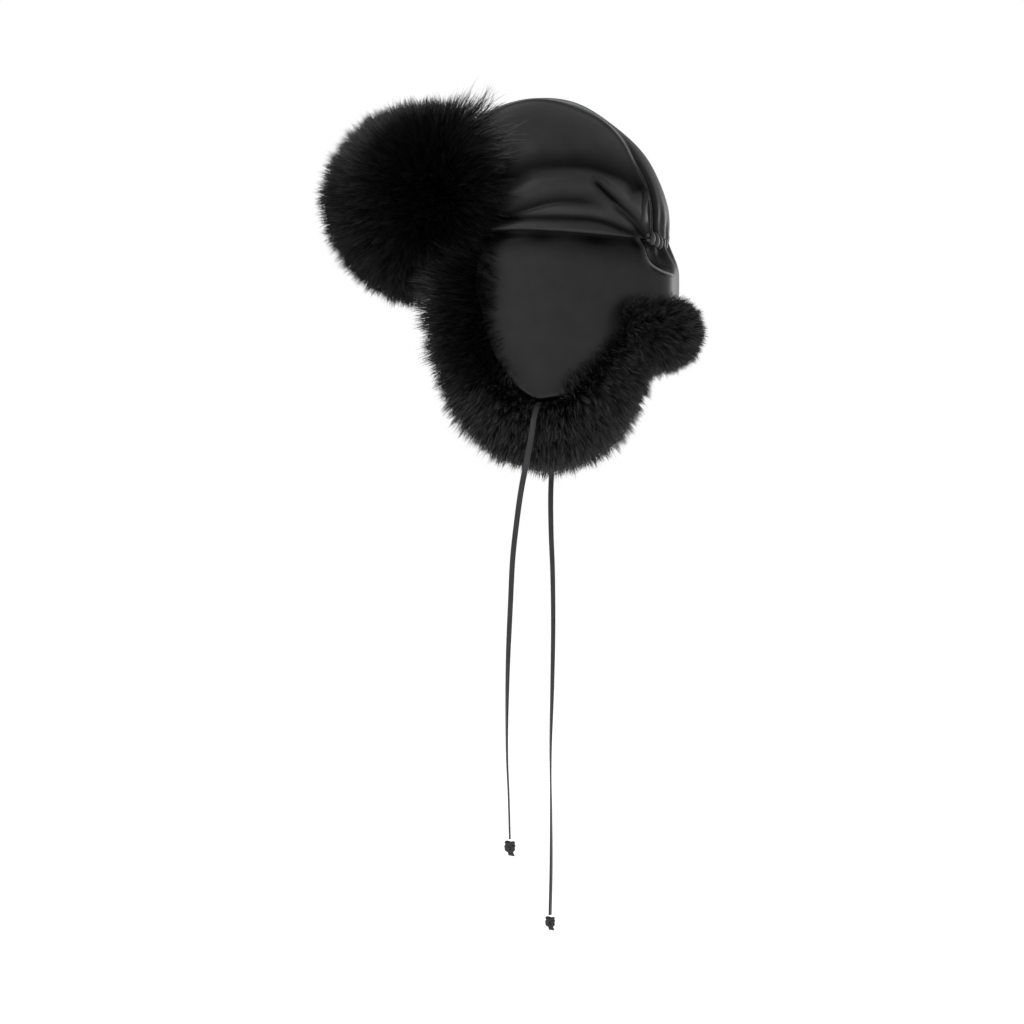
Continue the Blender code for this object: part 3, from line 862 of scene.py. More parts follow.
@dataclass
class CrownForm:
    """The crown's outer shape: an ellipse in plan, with a fuller curve of power shoulder above its widest."""

    half_width: float = 0.088
    half_length: float = 0.113
    rise: float = 0.109
    widest_z: float = 0.022
    shoulder: float = 1.90
    rear_shoulder: float = 1.74
    seam_half_width: float = 0.0245
    seam_slope: float = 0.085
    seam_flare: float = 0.0195
    seam_return: float = 0.004

    def power(self, y: Array, z: Array) -> Array:
        """The form's power: 2 below the widest level, and above it a blend from the front's to the rear's."""
        rear = ease(y / np.maximum(np.hypot(y, z), 1e-9), -0.2, 0.5)
        return np.where(z > 0, self.shoulder + (self.rear_shoulder - self.shoulder) * rear, 2.0)

    def reach(self, directions: Array) -> Array:
        """Where rays from the crown's middle meet its surface.

        The surface is (x^2/a^2 + y^2/b^2)^(p/2) + |z/c|^p = 1 with p the power in the ray's direction.
        The left side is homogeneous, so the ray's length is its value to the power -1/p.
        """
        x, y, z = np.moveaxis(directions / np.array([self.half_width, self.half_length, self.rise]), -1, 0)
        p = self.power(y, z)
        size = ((x**2 + y**2) ** (p / 2) + np.abs(z) ** p) ** (-1 / p)
        return directions * size[..., None] + np.array([0, 0, self.widest_z])

    def hem_half(self) -> tuple[float, float]:
        """Half the width and half the length of the hem."""
        shrink = math.sqrt(1 - (self.widest_z / self.rise) ** 2)
        return self.half_width * shrink, self.half_length * shrink

    def hem_x(self, y: Array, outset: float = 0.0) -> Array:
        """Half the width of the hem's ellipse at y, with the ellipse grown by outset."""
        width, length = self.hem_half()
        return (width + outset) * np.sqrt(np.clip(1 - (y / (length + outset)) ** 2, 0.0, 1.0))

    def seam_x(self, y: Array, z: Array) -> Array:
        """Half the strip's width: w + s y before the top, flare more down the rear, less at the hem."""
        front = self.seam_slope * y * (1 - ease(y, -0.02, 0.02))
        down = (1 - ease(z, 0.058, 0.114)) * ease(y, 0.02, 0.06)
        hem = (1 - ease(z, 0.0, 0.022)) * ease(y, 0.02, 0.06)
        return self.seam_half_width + front + self.seam_flare * down - self.seam_return * hem

    def seam_line(self, samples: int) -> Array:
        """Points of the left seam, where x = seam_x(y, z) meets the crown, from the front hem to the rear.

        Each is found by halving the interval of x at which a ray in the seam's upright plane leaves the crown.
        """
        turn = np.linspace(-0.35, math.pi + 0.35, 900)
        flat = np.stack([0 * turn, -np.cos(turn), np.sin(turn)], -1)
        scale = np.array([self.half_width, self.half_length, self.rise])
        low, high = np.zeros(len(turn)), np.full(len(turn), 0.2)
        for _ in range(40):
            middle = (low + high) / 2
            points = flat * middle[:, None] + np.array([0, 0, self.widest_z])
            points[:, 0] = self.seam_x(points[:, 1], points[:, 2])
            x, y, z = ((points - [0, 0, self.widest_z]) / scale).T
            p = self.power(y, z)
            inside = (x**2 + y**2) ** (p / 2) + np.abs(z) ** p < 1
            low, high = np.where(inside, middle, low), np.where(inside, high, middle)
        line = flat * low[:, None] + np.array([0, 0, self.widest_z])
        line[:, 0] = self.seam_x(line[:, 1], line[:, 2])
        line = line[line[:, 2] >= 0.0]
        return smooth_line(line[:: max(1, len(line) // 60)], samples)


@dataclass
class Dresser:
    """Hangs finished pieces on the frame, or bakes them in place, and logs them."""

    made: int = 0

    def hang(
        self,
        piece: bpy.types.Object,
        body: Body,
        slot: str,
        replaces: Sequence[str] = (),
        bends_from: Optional[Body] = None,
        start: Sequence[float] = (),
        end: Sequence[float] = (),
    ) -> bpy.types.Object:
        """Puts a piece on its body, or bakes its transform in place where a parent body is given, and hides the
        nodes that it stands for.

        Args:
            piece: The finished object, at the origin.
            body: The body that it moves with, where no parent body is given.
            slot: Not used.
            replaces: Nodes of the frame that it stands for.
            bends_from: A parent body; where one is given, the piece is not put on its body, and only its
                transform is baked in.
            start: Not used.
            end: Not used.

        Returns:
            The same object.
        """
        if bends_from is None:
            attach(piece, body.value)
        else:
            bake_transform(piece)
        if replaces:
            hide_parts(*replaces)
        self.made += 1
        LOG.info("piece %d: %s on %s, %d faces", self.made, piece.name, body.value, len(piece.data.polygons))
        return piece


@dataclass
class Crown:
    """The leather crown: two side panels and a centre strip, puffed by wadding and drawn in at the rear."""

    form: CrownForm = field(default_factory=CrownForm)
    wall: float = 0.0014
    columns: int = 210
    rows: int = 125
    hem_drop: float = 0.0045
    side_folds: tuple[Fold, ...] = (
        # y, z in the side view, from front to rear; distances are positive above the crease
        Fold(((-0.075, 0.034), (-0.045, 0.043), (-0.022, 0.050), (-0.003, 0.0570), (0.023, 0.0595),
              (0.045, 0.0590), (0.060, 0.0555), (0.0784, 0.0492), (0.0846, 0.0413), (0.0899, 0.0324)),
             0.0038, 0.0090, 0.0016, -0.0155, 0.0090, (0.15, 0.05), 0.42, 0.001, (0.012, 0.006), 0.0),
        Fold(((-0.075, 0.002), (-0.040, 0.011), (-0.014, 0.0175), (0.010, 0.0240), (0.028, 0.0255),
              (0.052, 0.0240), (0.066, 0.0205)),
             0.0028, 0.0036, 0.0011, -0.0080, 0.0048, (0.10, 0.20), 0.42, 0.0008, (0.0070, 0.0020), 0.02),
        Fold(((-0.090, 0.008), (-0.040, 0.0105), (-0.016, 0.0110), (0.023, 0.0110), (0.052, 0.0100),
              (0.078, 0.0045), (0.090, 0.0015)),
             0.0024, 0.0028, 0.0012, -0.0060, 0.0042, (0.02, 0.05), 0.46, 0.0, (0.0030, 0.0024), 0.0),
        Fold(((0.046, 0.0490), (0.052, 0.0437), (0.060, 0.0364), (0.075, 0.0230), (0.088, 0.0105),
              (0.095, 0.001)),
             0.0036, 0.0034, 0.0010, 0.0072, 0.0040, (0.16, 0.06), 0.50, -0.0004, (0.0030, 0.0040), 0.03),
        Fold(((0.062, 0.0265), (0.073, 0.0175), (0.084, 0.0080), (0.091, 0.001)),
             0.0014, 0.0020, 0.0016, 0.0042, 0.0030, (0.30, 0.05), 0.26, 0.0, (0.0016, 0.0022), 0.12),
        Fold(((0.0925, 0.040), (0.0912, 0.026), (0.0900, 0.011)),
             0.0014, 0.0011, 0.0010, 0.0022, 0.0014, (0.20, 0.10), 0.20, 0.0, (0.0010, 0.0012), 0.14),
    )

    def side_sheet(self, side: Side) -> Sheet:
        """A side panel, from the hem up to its seam.

        Between the hem's ellipse and the seam a point is the crown surface in the direction that turns
        evenly from one to the other. It is then raised by the puff, the folds and the rolled edges.
        """
        seam = self.form.seam_line(self.columns)
        width, length = self.form.hem_half()
        first, last = (math.atan2(seam[i, 1] / length, seam[i, 0] / width) for i in (0, -1))
        turn = np.linspace(first, last, 2000)
        arc = np.stack([width * np.cos(turn), length * np.sin(turn), 0 * turn], -1)
        run = np.concatenate([[0], np.cumsum(np.linalg.norm(np.diff(arc, axis=0), axis=1))])
        at = np.linspace(0, run[-1], self.columns)
        hem = np.stack([np.interp(at, run, arc[:, k]) for k in range(3)], 1)
        middle = np.array([0, 0, self.form.widest_z])
        low, high = unit(hem - middle), unit(seam - middle)
        share = (1 - np.cos(np.linspace(0, math.pi, self.rows))) / 2
        share = 0.7 * share + 0.3 * np.linspace(0, 1, self.rows)
        points = self.form.reach(turn_between(low, high, share))
        sheet = Sheet(points)
        normals = outward(sheet, middle)
        reach = np.linalg.norm(np.diff(points, axis=1), axis=-1)
        up = np.concatenate([np.zeros((self.columns, 1)), np.cumsum(reach, 1)], 1)
        from_hem, from_seam = up, up[:, -1:] - up
        flat = points[..., 1:]
        if side is Side.RIGHT:
            flat = flat + 0.004 * np.stack([waves(points, 0.09, 21), waves(points, 0.09, 22)], -1)
        height, painted_shading = np.zeros(flat.shape[:2]), np.zeros(flat.shape[:2])
        # each fold adds its height, and its painted shade in the crease and painted highlight on the roll
        for fold in self.side_folds:
            rise, painted_fold_shading = fold.lie(flat)
            height += rise * ease(from_seam, 0.0, 0.006)
            painted_shading += painted_fold_shading * ease(from_seam, 0.0, 0.004)
        height += 0.0006 * waves(points, 0.055, 5 if side is Side.LEFT else 6)
        height += rolled_edge(from_seam, 0.0026, 0.0011, 0.0012, 0.0036, 0.0028)
        height += rolled_edge(from_hem, 0.0030, 0.0012, 0.0016, 0.0036, 0.0030)
        # the seam's painted highlight on its roll and painted shade in its groove, and a painted shadow line
        # along the hem
        painted_shading = painted_shading.clip(-0.5, 0.3) + painted_seam_light(from_seam, points[..., 2]) - 0.50 * hump(from_hem, 0.0, 0.0013)
        # painted shade low down beside the seam, towards the gather
        painted_shading -= 0.36 * (1 - ease(points[..., 2], 0.020, 0.060)) * (1 - ease(from_seam, 0.005, 0.018))
        points = sheet.points + normals * height[..., None]
        points = self.draw_in(points)
        sunk = 0.0010 + self.hem_drop * ease(points[..., 1], -0.03, 0.09)
        points[..., 2] -= sunk * hump(from_hem, 0.0, 0.008)
        if side is Side.RIGHT:
            points = points * np.array([-1, 1, 1])
        return faced(Sheet(points, painted_shading=painted_shading), middle)

    def draw_in(self, points: Array) -> Array:
        """Pulls the leather towards the rear gather: nearer than 45 mm it moves down and in by up to 6 mm."""
        gather = np.array([0.045, 0.098, 0.001])
        mirrored = points * np.where(points[..., :1] < 0, np.array([-1.0, 1, 1]), np.array([1.0, 1, 1]))
        offset = mirrored - gather
        distance = np.linalg.norm(offset, axis=-1)
        pull = 0.0050 * hump(distance, 0.0, 0.016)
        moved = mirrored - unit(offset) * np.minimum(pull, distance * 0.4)[..., None]
        return moved * np.where(points[..., :1] < 0, np.array([-1.0, 1, 1]), np.array([1.0, 1, 1]))

    def strip_sheet(self) -> Sheet:
        """The centre strip, from seam to seam.

        Across, a point is the crown surface between the two seam points at the same share of their
        length. At the rear two deep pleats run down beside the seams to the gather, with a bulge between.
        """
        seam = self.form.seam_line(self.columns)
        other = seam * np.array([-1, 1, 1])
        middle = np.array([0, 0, self.form.widest_z])
        low, high = unit(seam - middle), unit(other - middle)
        across = 90
        points = self.form.reach(turn_between(low, high, np.linspace(0, 1, across)))
        sheet = Sheet(points)
        normals = outward(sheet, middle)
        width = np.linalg.norm(np.diff(points, axis=1), axis=-1)
        run = np.concatenate([np.zeros((self.columns, 1)), np.cumsum(width, 1)], 1)
        from_seam = np.minimum(run, run[:, -1:] - run)
        along = np.linalg.norm(np.diff(seam, axis=0), axis=-1)
        to_rear = np.concatenate([np.cumsum(along[::-1])[::-1], [0]])[:, None]
        to_front = np.concatenate([[0], np.cumsum(along)])[:, None]
        height = rolled_edge(from_seam, 0.0026, 0.0011, 0.0012, 0.0036, 0.0028)
        rear = 1 - ease(to_rear, 0.030, 0.110)
        height += -0.0066 * rear * hump(from_seam, 0.0078, 0.0036)
        height += 0.0012 * (1 - ease(to_rear, 0.020, 0.060)) * ease(from_seam, 0.014, 0.024)
        centred = run - run[:, -1:] / 2
        gathered = (1 - ease(to_rear, 0.004, 0.040)) * ease(from_seam, 0.012, 0.020)
        height += -0.0013 * gathered * np.cos(centred / 0.0024 + 0.6 * waves(points, 0.03, 10))
        height += 0.0006 * waves(points, 0.05, 9)
        height += rolled_edge(to_rear + 0 * run, 0.0030, 0.0014, 0.0010, 0.004, 0.003)
        height += rolled_edge(to_front + 0 * run, 0.0022, 0.0011, 0.0010, 0.0035, 0.003)
        pleats = 0.5 + 0.5 * np.cos(centred / 0.0024)
        # painted shade in the deep pleats beside the seams and over the whole rear, darker in the gathers'
        # valleys
        painted_shading = -0.62 * rear * hump(from_seam, 0.0066, 0.0046) - 0.16 * rear - 0.10 * gathered * pleats
        # then the seam's painted highlight and groove shade
        painted_shading = painted_shading + painted_seam_light(from_seam, points[..., 2])
        points = self.draw_in(points + normals * height[..., None])
        points[..., 2] -= 0.004 * (1 - ease(to_rear, 0.0, 0.006))
        return faced(Sheet(points, painted_shading=painted_shading), middle)

    def build(self, wardrobe: Wardrobe, dresser: Dresser) -> None:
        """Builds the three leather panels and hangs them on the crown."""
        for side in Side:
            panel = self.side_sheet(side).piece(f"crown_side_{side.label}_leather", wardrobe.leather, self.wall)
            dresser.hang(panel, Body.CROWN, "smooth_leather", [f"crown_side_{side.label}"])
        strip = self.strip_sheet().piece("crown_centre_strip_leather", wardrobe.leather, self.wall)
        dresser.hang(strip, Body.CROWN, "smooth_leather", ["crown_centre_strip", "crown_wadding"])


def rolled_edge(distance: Array, depth: float, width: float, roll: float, at: float, spread: float) -> Array:
    """A sewn edge: it turns in by depth within width of the edge, and a soft roll stands up beside it."""
    return -depth * hump(distance, 0.0, width) + roll * hump(distance, at, spread)


def painted_seam_light(distance: Array, z: Array) -> Array:
    """The painted shading of a sewn edge: painted shade in the groove and a painted highlight on the roll 1.8
    mm beside it, weaker low down.
    """
    # the painted highlight is brighter higher up
    pale = 0.12 + 0.38 * ease(z, 0.030, 0.075)
    return pale * hump(distance, 0.0018, 0.0012) - 0.50 * hump(distance, 0.0, 0.0009)


def outward(sheet: Sheet, middle: Array) -> Array:
    """The sheet's normals, turned to point away from a middle."""
    normals = sheet.normals()
    toward = ((sheet.points - middle) * normals).sum(-1).mean()
    return normals if toward > 0 else -normals


def faced(sheet: Sheet, middle: Array, away: bool = True) -> Sheet:
    """The sheet with its columns reversed if its faces look the wrong way about a middle."""
    toward = ((sheet.points - middle) * sheet.normals()).sum(-1).mean()
    if (toward > 0) == away:
        return sheet
    painted_shading = None if sheet.painted_shading is None else sheet.painted_shading[:, ::-1]
    return Sheet(sheet.points[:, ::-1], sheet.ring_rows, sheet.ring_cols, painted_shading)


@dataclass
class Lining:
    """The satin lining, cut like the crown, and the sweatband inside the hem."""

    form: CrownForm = field(default_factory=CrownForm)
    inset: float = 0.0062
    band_inset: float = 0.0082
    band_low: float = 0.0015
    band_high: float = 0.028
    wall: float = 0.0006

    def panel(self, side: Optional[Side]) -> Sheet:
        """A lining panel: the crown's own panel scaled in by the inset, with small gathers near the hem."""
        inner = CrownForm(
            self.form.half_width - self.inset,
            self.form.half_length - self.inset,
            self.form.rise - self.inset,
        )
        crown = Crown(inner, columns=140, rows=60, side_folds=())
        sheet = crown.strip_sheet() if side is None else crown.side_sheet(side)
        middle = np.array([0, 0, inner.widest_z])
        points = sheet.points
        around = np.arctan2(points[..., 1], points[..., 0])
        gathers = np.sin(around * 90 + 2 * waves(points, 0.05, 31)) * (1 - ease(points[..., 2], 0.01, 0.05))
        slack = waves(points, 0.04, 32)
        inward = unit(middle - points)
        points = points + inward * (0.0007 * gathers + 0.0010 * slack + 0.0012)[..., None]
        return faced(Sheet(points), middle, away=False)

    def band(self) -> Sheet:
        """The sweatband: an ellipse carried up from band_low to band_high, rolled over at its top edge."""
        turn = np.linspace(0, 2 * math.pi, 240, endpoint=False)
        share = np.linspace(0, 1, 20)
        width, length = (h - self.band_inset for h in self.form.hem_half())
        lean = 0.0016 * hump(share, 1.0, 0.10) - 0.0006 * np.sin(share * math.pi)
        z = self.band_low + (self.band_high - self.band_low) * share
        x = (width + lean[None]) * np.cos(turn)[:, None]
        y = (length + lean[None]) * np.sin(turn)[:, None]
        points = np.stack([x, y, np.broadcast_to(z, x.shape)], -1)
        points[..., 2] += 0.0004 * np.sin(turn * 40)[:, None] * share[None]
        return faced(Sheet(points, ring_rows=True), np.array([0, 0, 0.015]), away=False)

    def build(self, wardrobe: Wardrobe, dresser: Dresser) -> None:
        """Builds the lining panels and the sweatband."""
        for side in Side:
            panel = self.panel(side).piece(f"satin_side_{side.label}", wardrobe.satin, self.wall)
            dresser.hang(panel, Body.CROWN, "satin_lining", [f"lining_side_{side.label}"])
        strip = self.panel(None).piece("satin_centre_strip", wardrobe.satin, self.wall)
        dresser.hang(strip, Body.CROWN, "satin_lining", ["lining_centre_strip"])
        band = self.band().piece("sweatband_leather", wardrobe.sweatband, 0.0010)
        dresser.hang(band, Body.CROWN, "sweatband_leather", ["sweatband"])


@dataclass
class RearGather:
    """The ruched leather casing at the back of the hem and the elastic inside it."""

    form: CrownForm = field(default_factory=CrownForm)
    half_height: float = 0.0066
    reach_x: float = 0.0465
    pleat: float = 0.0062
    sag: float = 0.0050

    def casing(self) -> Sheet:
        """The casing: a rounded band round the rear of the hem whose pleats are sharp folds.

        At angle a round the hem it stands out by b cos(v) + pleat depth |sin(k a)|^0.6, where v runs
        round the band's rounded section.
        """
        start = math.asin(self.reach_x / self.form.hem_half()[0])
        turn = np.linspace(math.pi / 2 - start, math.pi / 2 + start, 260)
        v = np.linspace(0, 2 * math.pi, 36, endpoint=False)
        width, length = self.form.hem_half()
        rng = np.random.default_rng(4)
        run = (turn - turn[0]) / (turn[-1] - turn[0])
        phase = np.cumsum(rng.uniform(0.6, 1.5, len(turn)))
        phase = phase / phase[-1] * (2 * self.reach_x / self.pleat) * math.pi
        pleats = np.abs(np.sin(phase)) ** 0.6 - 0.55
        end = np.sqrt(np.clip(1 - (2 * run - 1) ** 8, 0.02, 1))
        slant = 0.5 * np.sin(phase * 0.5)[:, None] * np.sin(v)[None]
        out = 0.0040 * np.cos(v)[None] + (0.0026 * pleats[:, None] * (1 + slant)) * (np.cos(v)[None] > -0.3)
        out = out * end[:, None] - 0.0012
        z = self.half_height * np.sin(v)[None] * end[:, None] * (1 + 0.18 * pleats[:, None])
        x = (width + out) * np.cos(turn)[:, None]
        y = (length + out) * np.sin(turn)[:, None]
        z = z - 0.0010 - self.sag * (1 - (2 * run[:, None] - 1) ** 2)
        # painted highlight on the pleats' crests and painted shade in their hollows, on the outer half
        painted_shading = (0.20 * (pleats[:, None] - 0.15) * (np.cos(v)[None] > 0)).clip(-0.4, 0.2)
        sheet = Sheet(np.stack([x, y, z], -1), ring_cols=True, painted_shading=painted_shading)
        return faced(sheet, np.array([0, 0.1, 0.0]))

    def elastic(self) -> Sheet:
        """The elastic: a flat band just inside the casing, slightly wavy as it is drawn up."""
        start = math.asin(0.046 / self.form.hem_half()[0])
        turn = np.linspace(math.pi / 2 - start, math.pi / 2 + start, 120)[:, None]
        z = np.linspace(-0.0034, 0.0034, 8)[None]
        inset = 0.0062 + 0.0003 * np.sin(turn * 60)
        width, length = self.form.hem_half()
        x, y = (width - inset) * np.cos(turn), (length - inset) * np.sin(turn)
        points = np.stack(np.broadcast_arrays(x, y, z), -1)
        return faced(Sheet(points.copy()), np.zeros(3))

    def build(self, wardrobe: Wardrobe, dresser: Dresser) -> None:
        """Builds the casing and the elastic."""
        casing = self.casing().piece("ruched_casing", wardrobe.leather)
        dresser.hang(casing, Body.CROWN, "smooth_leather", ["elastic_casing"])
        elastic = self.elastic().piece("drawn_elastic", wardrobe.elastic, 0.0009)
        dresser.hang(elastic, Body.CROWN, "elastic", ["rear_elastic"])


@dataclass
class FrontFlap:
    """The turned-up front flap: leather against the crown, a stiffener, and a full roll of fur."""

    form: CrownForm = field(default_factory=CrownForm)
    clearance: float = 0.0035
    height: float = 0.086
    spread: float = 1.06
    lean: float = 0.014
    end_y: float = -0.058
    fur_centre: tuple[float, float, float] = (0.0, -0.112, 0.0355)
    core_half: tuple[float, float, float] = (0.093, 0.058, 0.058)
    squareness: float = 3.6
    wrap: float = 0.030
    corner_back: float = 0.024
    # y, z of a line down each end of the roll, round which shade is painted darker into the strands' tone
    painted_shade_line: tuple[tuple[float, float], ...] = (
        (-0.098, 0.052), (-0.092, 0.036), (-0.086, 0.016), (-0.078, -0.006), (-0.070, -0.030),
    )
    strands: int = 28000
    pile: Pile = field(default_factory=lambda: Pile(length=0.031, comb=0.34, droop=0.06, splay=0.26))

    def wall_half(self, z: Array, outset: float) -> tuple[Array, Array, Array]:
        """Half width, half length and forward shift of the flap's leaning band at height z."""
        share = z / self.height
        grow = 1 + (self.spread - 1) * share
        width, length = (h + self.clearance + outset for h in self.form.hem_half())
        return width * grow, length * grow, -self.lean * share

    def leather(self) -> Sheet:
        """The flap's leather: the leaning band with rounded top corners, padded and tucked in at its edges."""
        rows, cols = 160, 60
        u = np.linspace(-1, 1, rows)[:, None]
        top = self.height * (1 - 0.45 * ease(np.abs(u), 0.70, 1.0))
        z = np.linspace(0.0, 1.0, cols)[None] * top
        half_width, half_length, shift = self.wall_half(z, 0.0015)
        limit = np.arccos(np.clip((self.end_y - shift) / -half_length, -1, 1))
        turn = u * limit
        height = -0.0016 * hump(z, 0.0, 0.0018) - 0.0016 * hump(z, top, 0.0018)
        height = height - 0.0016 * hump(1 - np.abs(u), 0.0, 0.012) + 0 * turn
        x = (half_width - height) * np.sin(turn)
        y = -(half_length - height) * np.cos(turn) + shift
        points = np.stack([x, y, np.broadcast_to(z + 0.0006, x.shape)], -1)
        points = points + unit(points * [1, 1, 0]) * (0.0005 * waves(points, 0.04, 41))[..., None]
        return faced(Sheet(points), np.array([0, 0, 0.04]), away=False)

    def core(self) -> tuple[Sheet, Array, Array]:
        """The dense underfur: a fat roll whose ends wrap back along the temples, pressed flat against the flap.

        A point is centre + d F(d)^(-1/p) with F(d) = |x/a|^p + ((y/b)^2 + (z/c)^2)^(p/2), moved back by
        wrap |x/a|^2.5, and its top corners back by corner_back more. A point inside the flap's band
        moves straight out from the hat's axis onto the band. Above the flap it stays off the crown, and
        below the hem off the brow.

        Returns:
            The surface, its normals before it was pressed, and how far each point was pressed.
        """
        turn = np.linspace(0, 2 * math.pi, 160, endpoint=False)[:, None]
        tilt = np.linspace(-math.pi / 2, math.pi / 2, 90)[None]
        direction = np.stack(
            np.broadcast_arrays(np.sin(tilt), -np.cos(tilt) * np.cos(turn), np.cos(tilt) * np.sin(turn)), -1
        )
        half, p = np.array(self.core_half), self.squareness
        x, y, z = np.moveaxis(direction / half, -1, 0)
        ring = y**2 + z**2
        size = (np.abs(x) ** p + ring ** (p / 2)) ** (-1 / p)
        points = np.array(self.fur_centre) + direction * size[..., None]
        steep = ring ** (p / 2 - 1)
        gradient = unit(np.stack([np.sign(x) * np.abs(x) ** (p - 1), y * steep, z * steep], -1) / half)
        points[..., 1] += self.wrap * np.abs(points[..., 0] / half[0]) ** 2.5
        corner = ease(np.abs(points[..., 0]) / half[0], 0.35, 0.80) * ease(points[..., 2], 0.045, 0.085)
        points[..., 1] += self.corner_back * corner
        half_width, half_length, shift = self.wall_half(np.clip(points[..., 2], 0.0, self.height), 0.005)
        plan = np.hypot(points[..., 0] / half_width, (points[..., 1] - shift) / half_length)
        push = np.clip(1 / np.maximum(plan, 0.35), 1.0, None)
        push = 1 + (push - 1) * (1 - ease(points[..., 2], self.height - 0.006, self.height + 0.006))
        points[..., 0] *= push
        points[..., 1] = (points[..., 1] - shift) * push + shift
        level = np.sqrt(np.clip(1 - ((points[..., 2] - self.form.widest_z) / 0.1135) ** 2, 0.02, 1))
        over = np.hypot(points[..., 0] / (0.0925 * level), points[..., 1] / (0.1175 * level))
        lift = np.clip(1 / np.maximum(over, 0.5), 1.0, None)
        points[..., :2] *= lift[..., None]
        brow = 1 - ease(points[..., 2], -0.010, 0.004)
        points[..., 1] -= brow * np.clip(points[..., 1] + 0.119, 0.0, None)
        return Sheet(points, ring_rows=True), gradient, push

    def bed(self) -> FurBed:
        """The strands' bed: combed out from the roll, back over the temples, none on the pressed back."""
        sheet, gradient, push = self.core()
        points = sheet.points
        half = self.core_half[0]
        across = np.abs(points[..., 0]) / half
        middle_y = self.fur_centre[1] + self.wrap * across**2.5
        radial = np.stack(
            [0.35 * points[..., 0], points[..., 1] - middle_y, points[..., 2] - self.fur_centre[2]], -1
        )
        temple = ease(across, 0.62, 0.92) * ease(points[..., 1], middle_y - 0.010, middle_y + 0.022)
        high = ease(points[..., 2], 0.045, 0.080)
        rearward = np.stack([0 * high, 0.020 + 0.110 * high, 0 * high], -1)
        back = unit(radial * np.array([0.5, 1.0, 0.8]) + rearward)
        combed = unit(unit(radial) * (1 - temple[..., None]) + back * temple[..., None])
        combed = combed * (1 + (0.75 + 0.85 * high) * temple)[..., None]
        y, z = points[..., 1], points[..., 2]
        scale = 1.0 + (0.28 + 0.42 * high) * temple + 0.05 * waves(points, 0.05, 43)
        scale = scale * (1 - 0.40 * (1 - ease(z, -0.015, 0.020)) * ease(y, -0.104, -0.078))
        scale = scale * (1 - 0.36 * ease(np.abs(gradient[..., 0]), 0.4, 0.85))
        scale = scale * (1 - 0.10 * ease(z, 0.075, 0.095))
        density = 1 - ease(push, 1.08, 1.20)
        beside = ease(np.abs(points[..., 0]), 0.040, 0.070)
        off = np.abs(along_route(points[..., 1:], self.painted_shade_line)[0])
        # painted shade: strands beside the hat near that line are painted darker, and all are painted paler
        # higher up and darker lower down
        tone_and_painted_shade = (1 - 0.95 * (1 - ease(off, 0.018, 0.048)) * beside) * (0.62 + 0.85 * ease(z, 0.030, 0.085))
        return FurBed(sheet, combed, scale, density.clip(0.0), normals=gradient, tone_and_painted_shade=tone_and_painted_shade)

    def build(self, wardrobe: Wardrobe, dresser: Dresser) -> None:
        """Builds the leather, the underfur and the guard hairs."""
        bend = {"bends_from": Body.CROWN, "start": (0, -0.040, 0.0), "end": (0, -0.100, 0.030)}
        leather = self.leather().piece("front_flap_back", wardrobe.leather, 0.0012)
        dresser.hang(leather, Body.FRONT, "smooth_leather", ["front_flap_leather"], **bend)
        core = self.core()[0].piece("front_flap_underfur", wardrobe.backing)
        dresser.hang(core, Body.FRONT, "long_fur", ["front_flap_fur", "front_flap_stiffener"], **bend)
        bed = self.bed()
        for number in (1, 2):
            name = f"front_flap_fur_hairs_{number}"
            hairs = self.pile.piece(name, bed, self.strands, 50 + number, wardrobe.fur)
            dresser.hang(hairs, Body.FRONT, "long_fur", **bend)


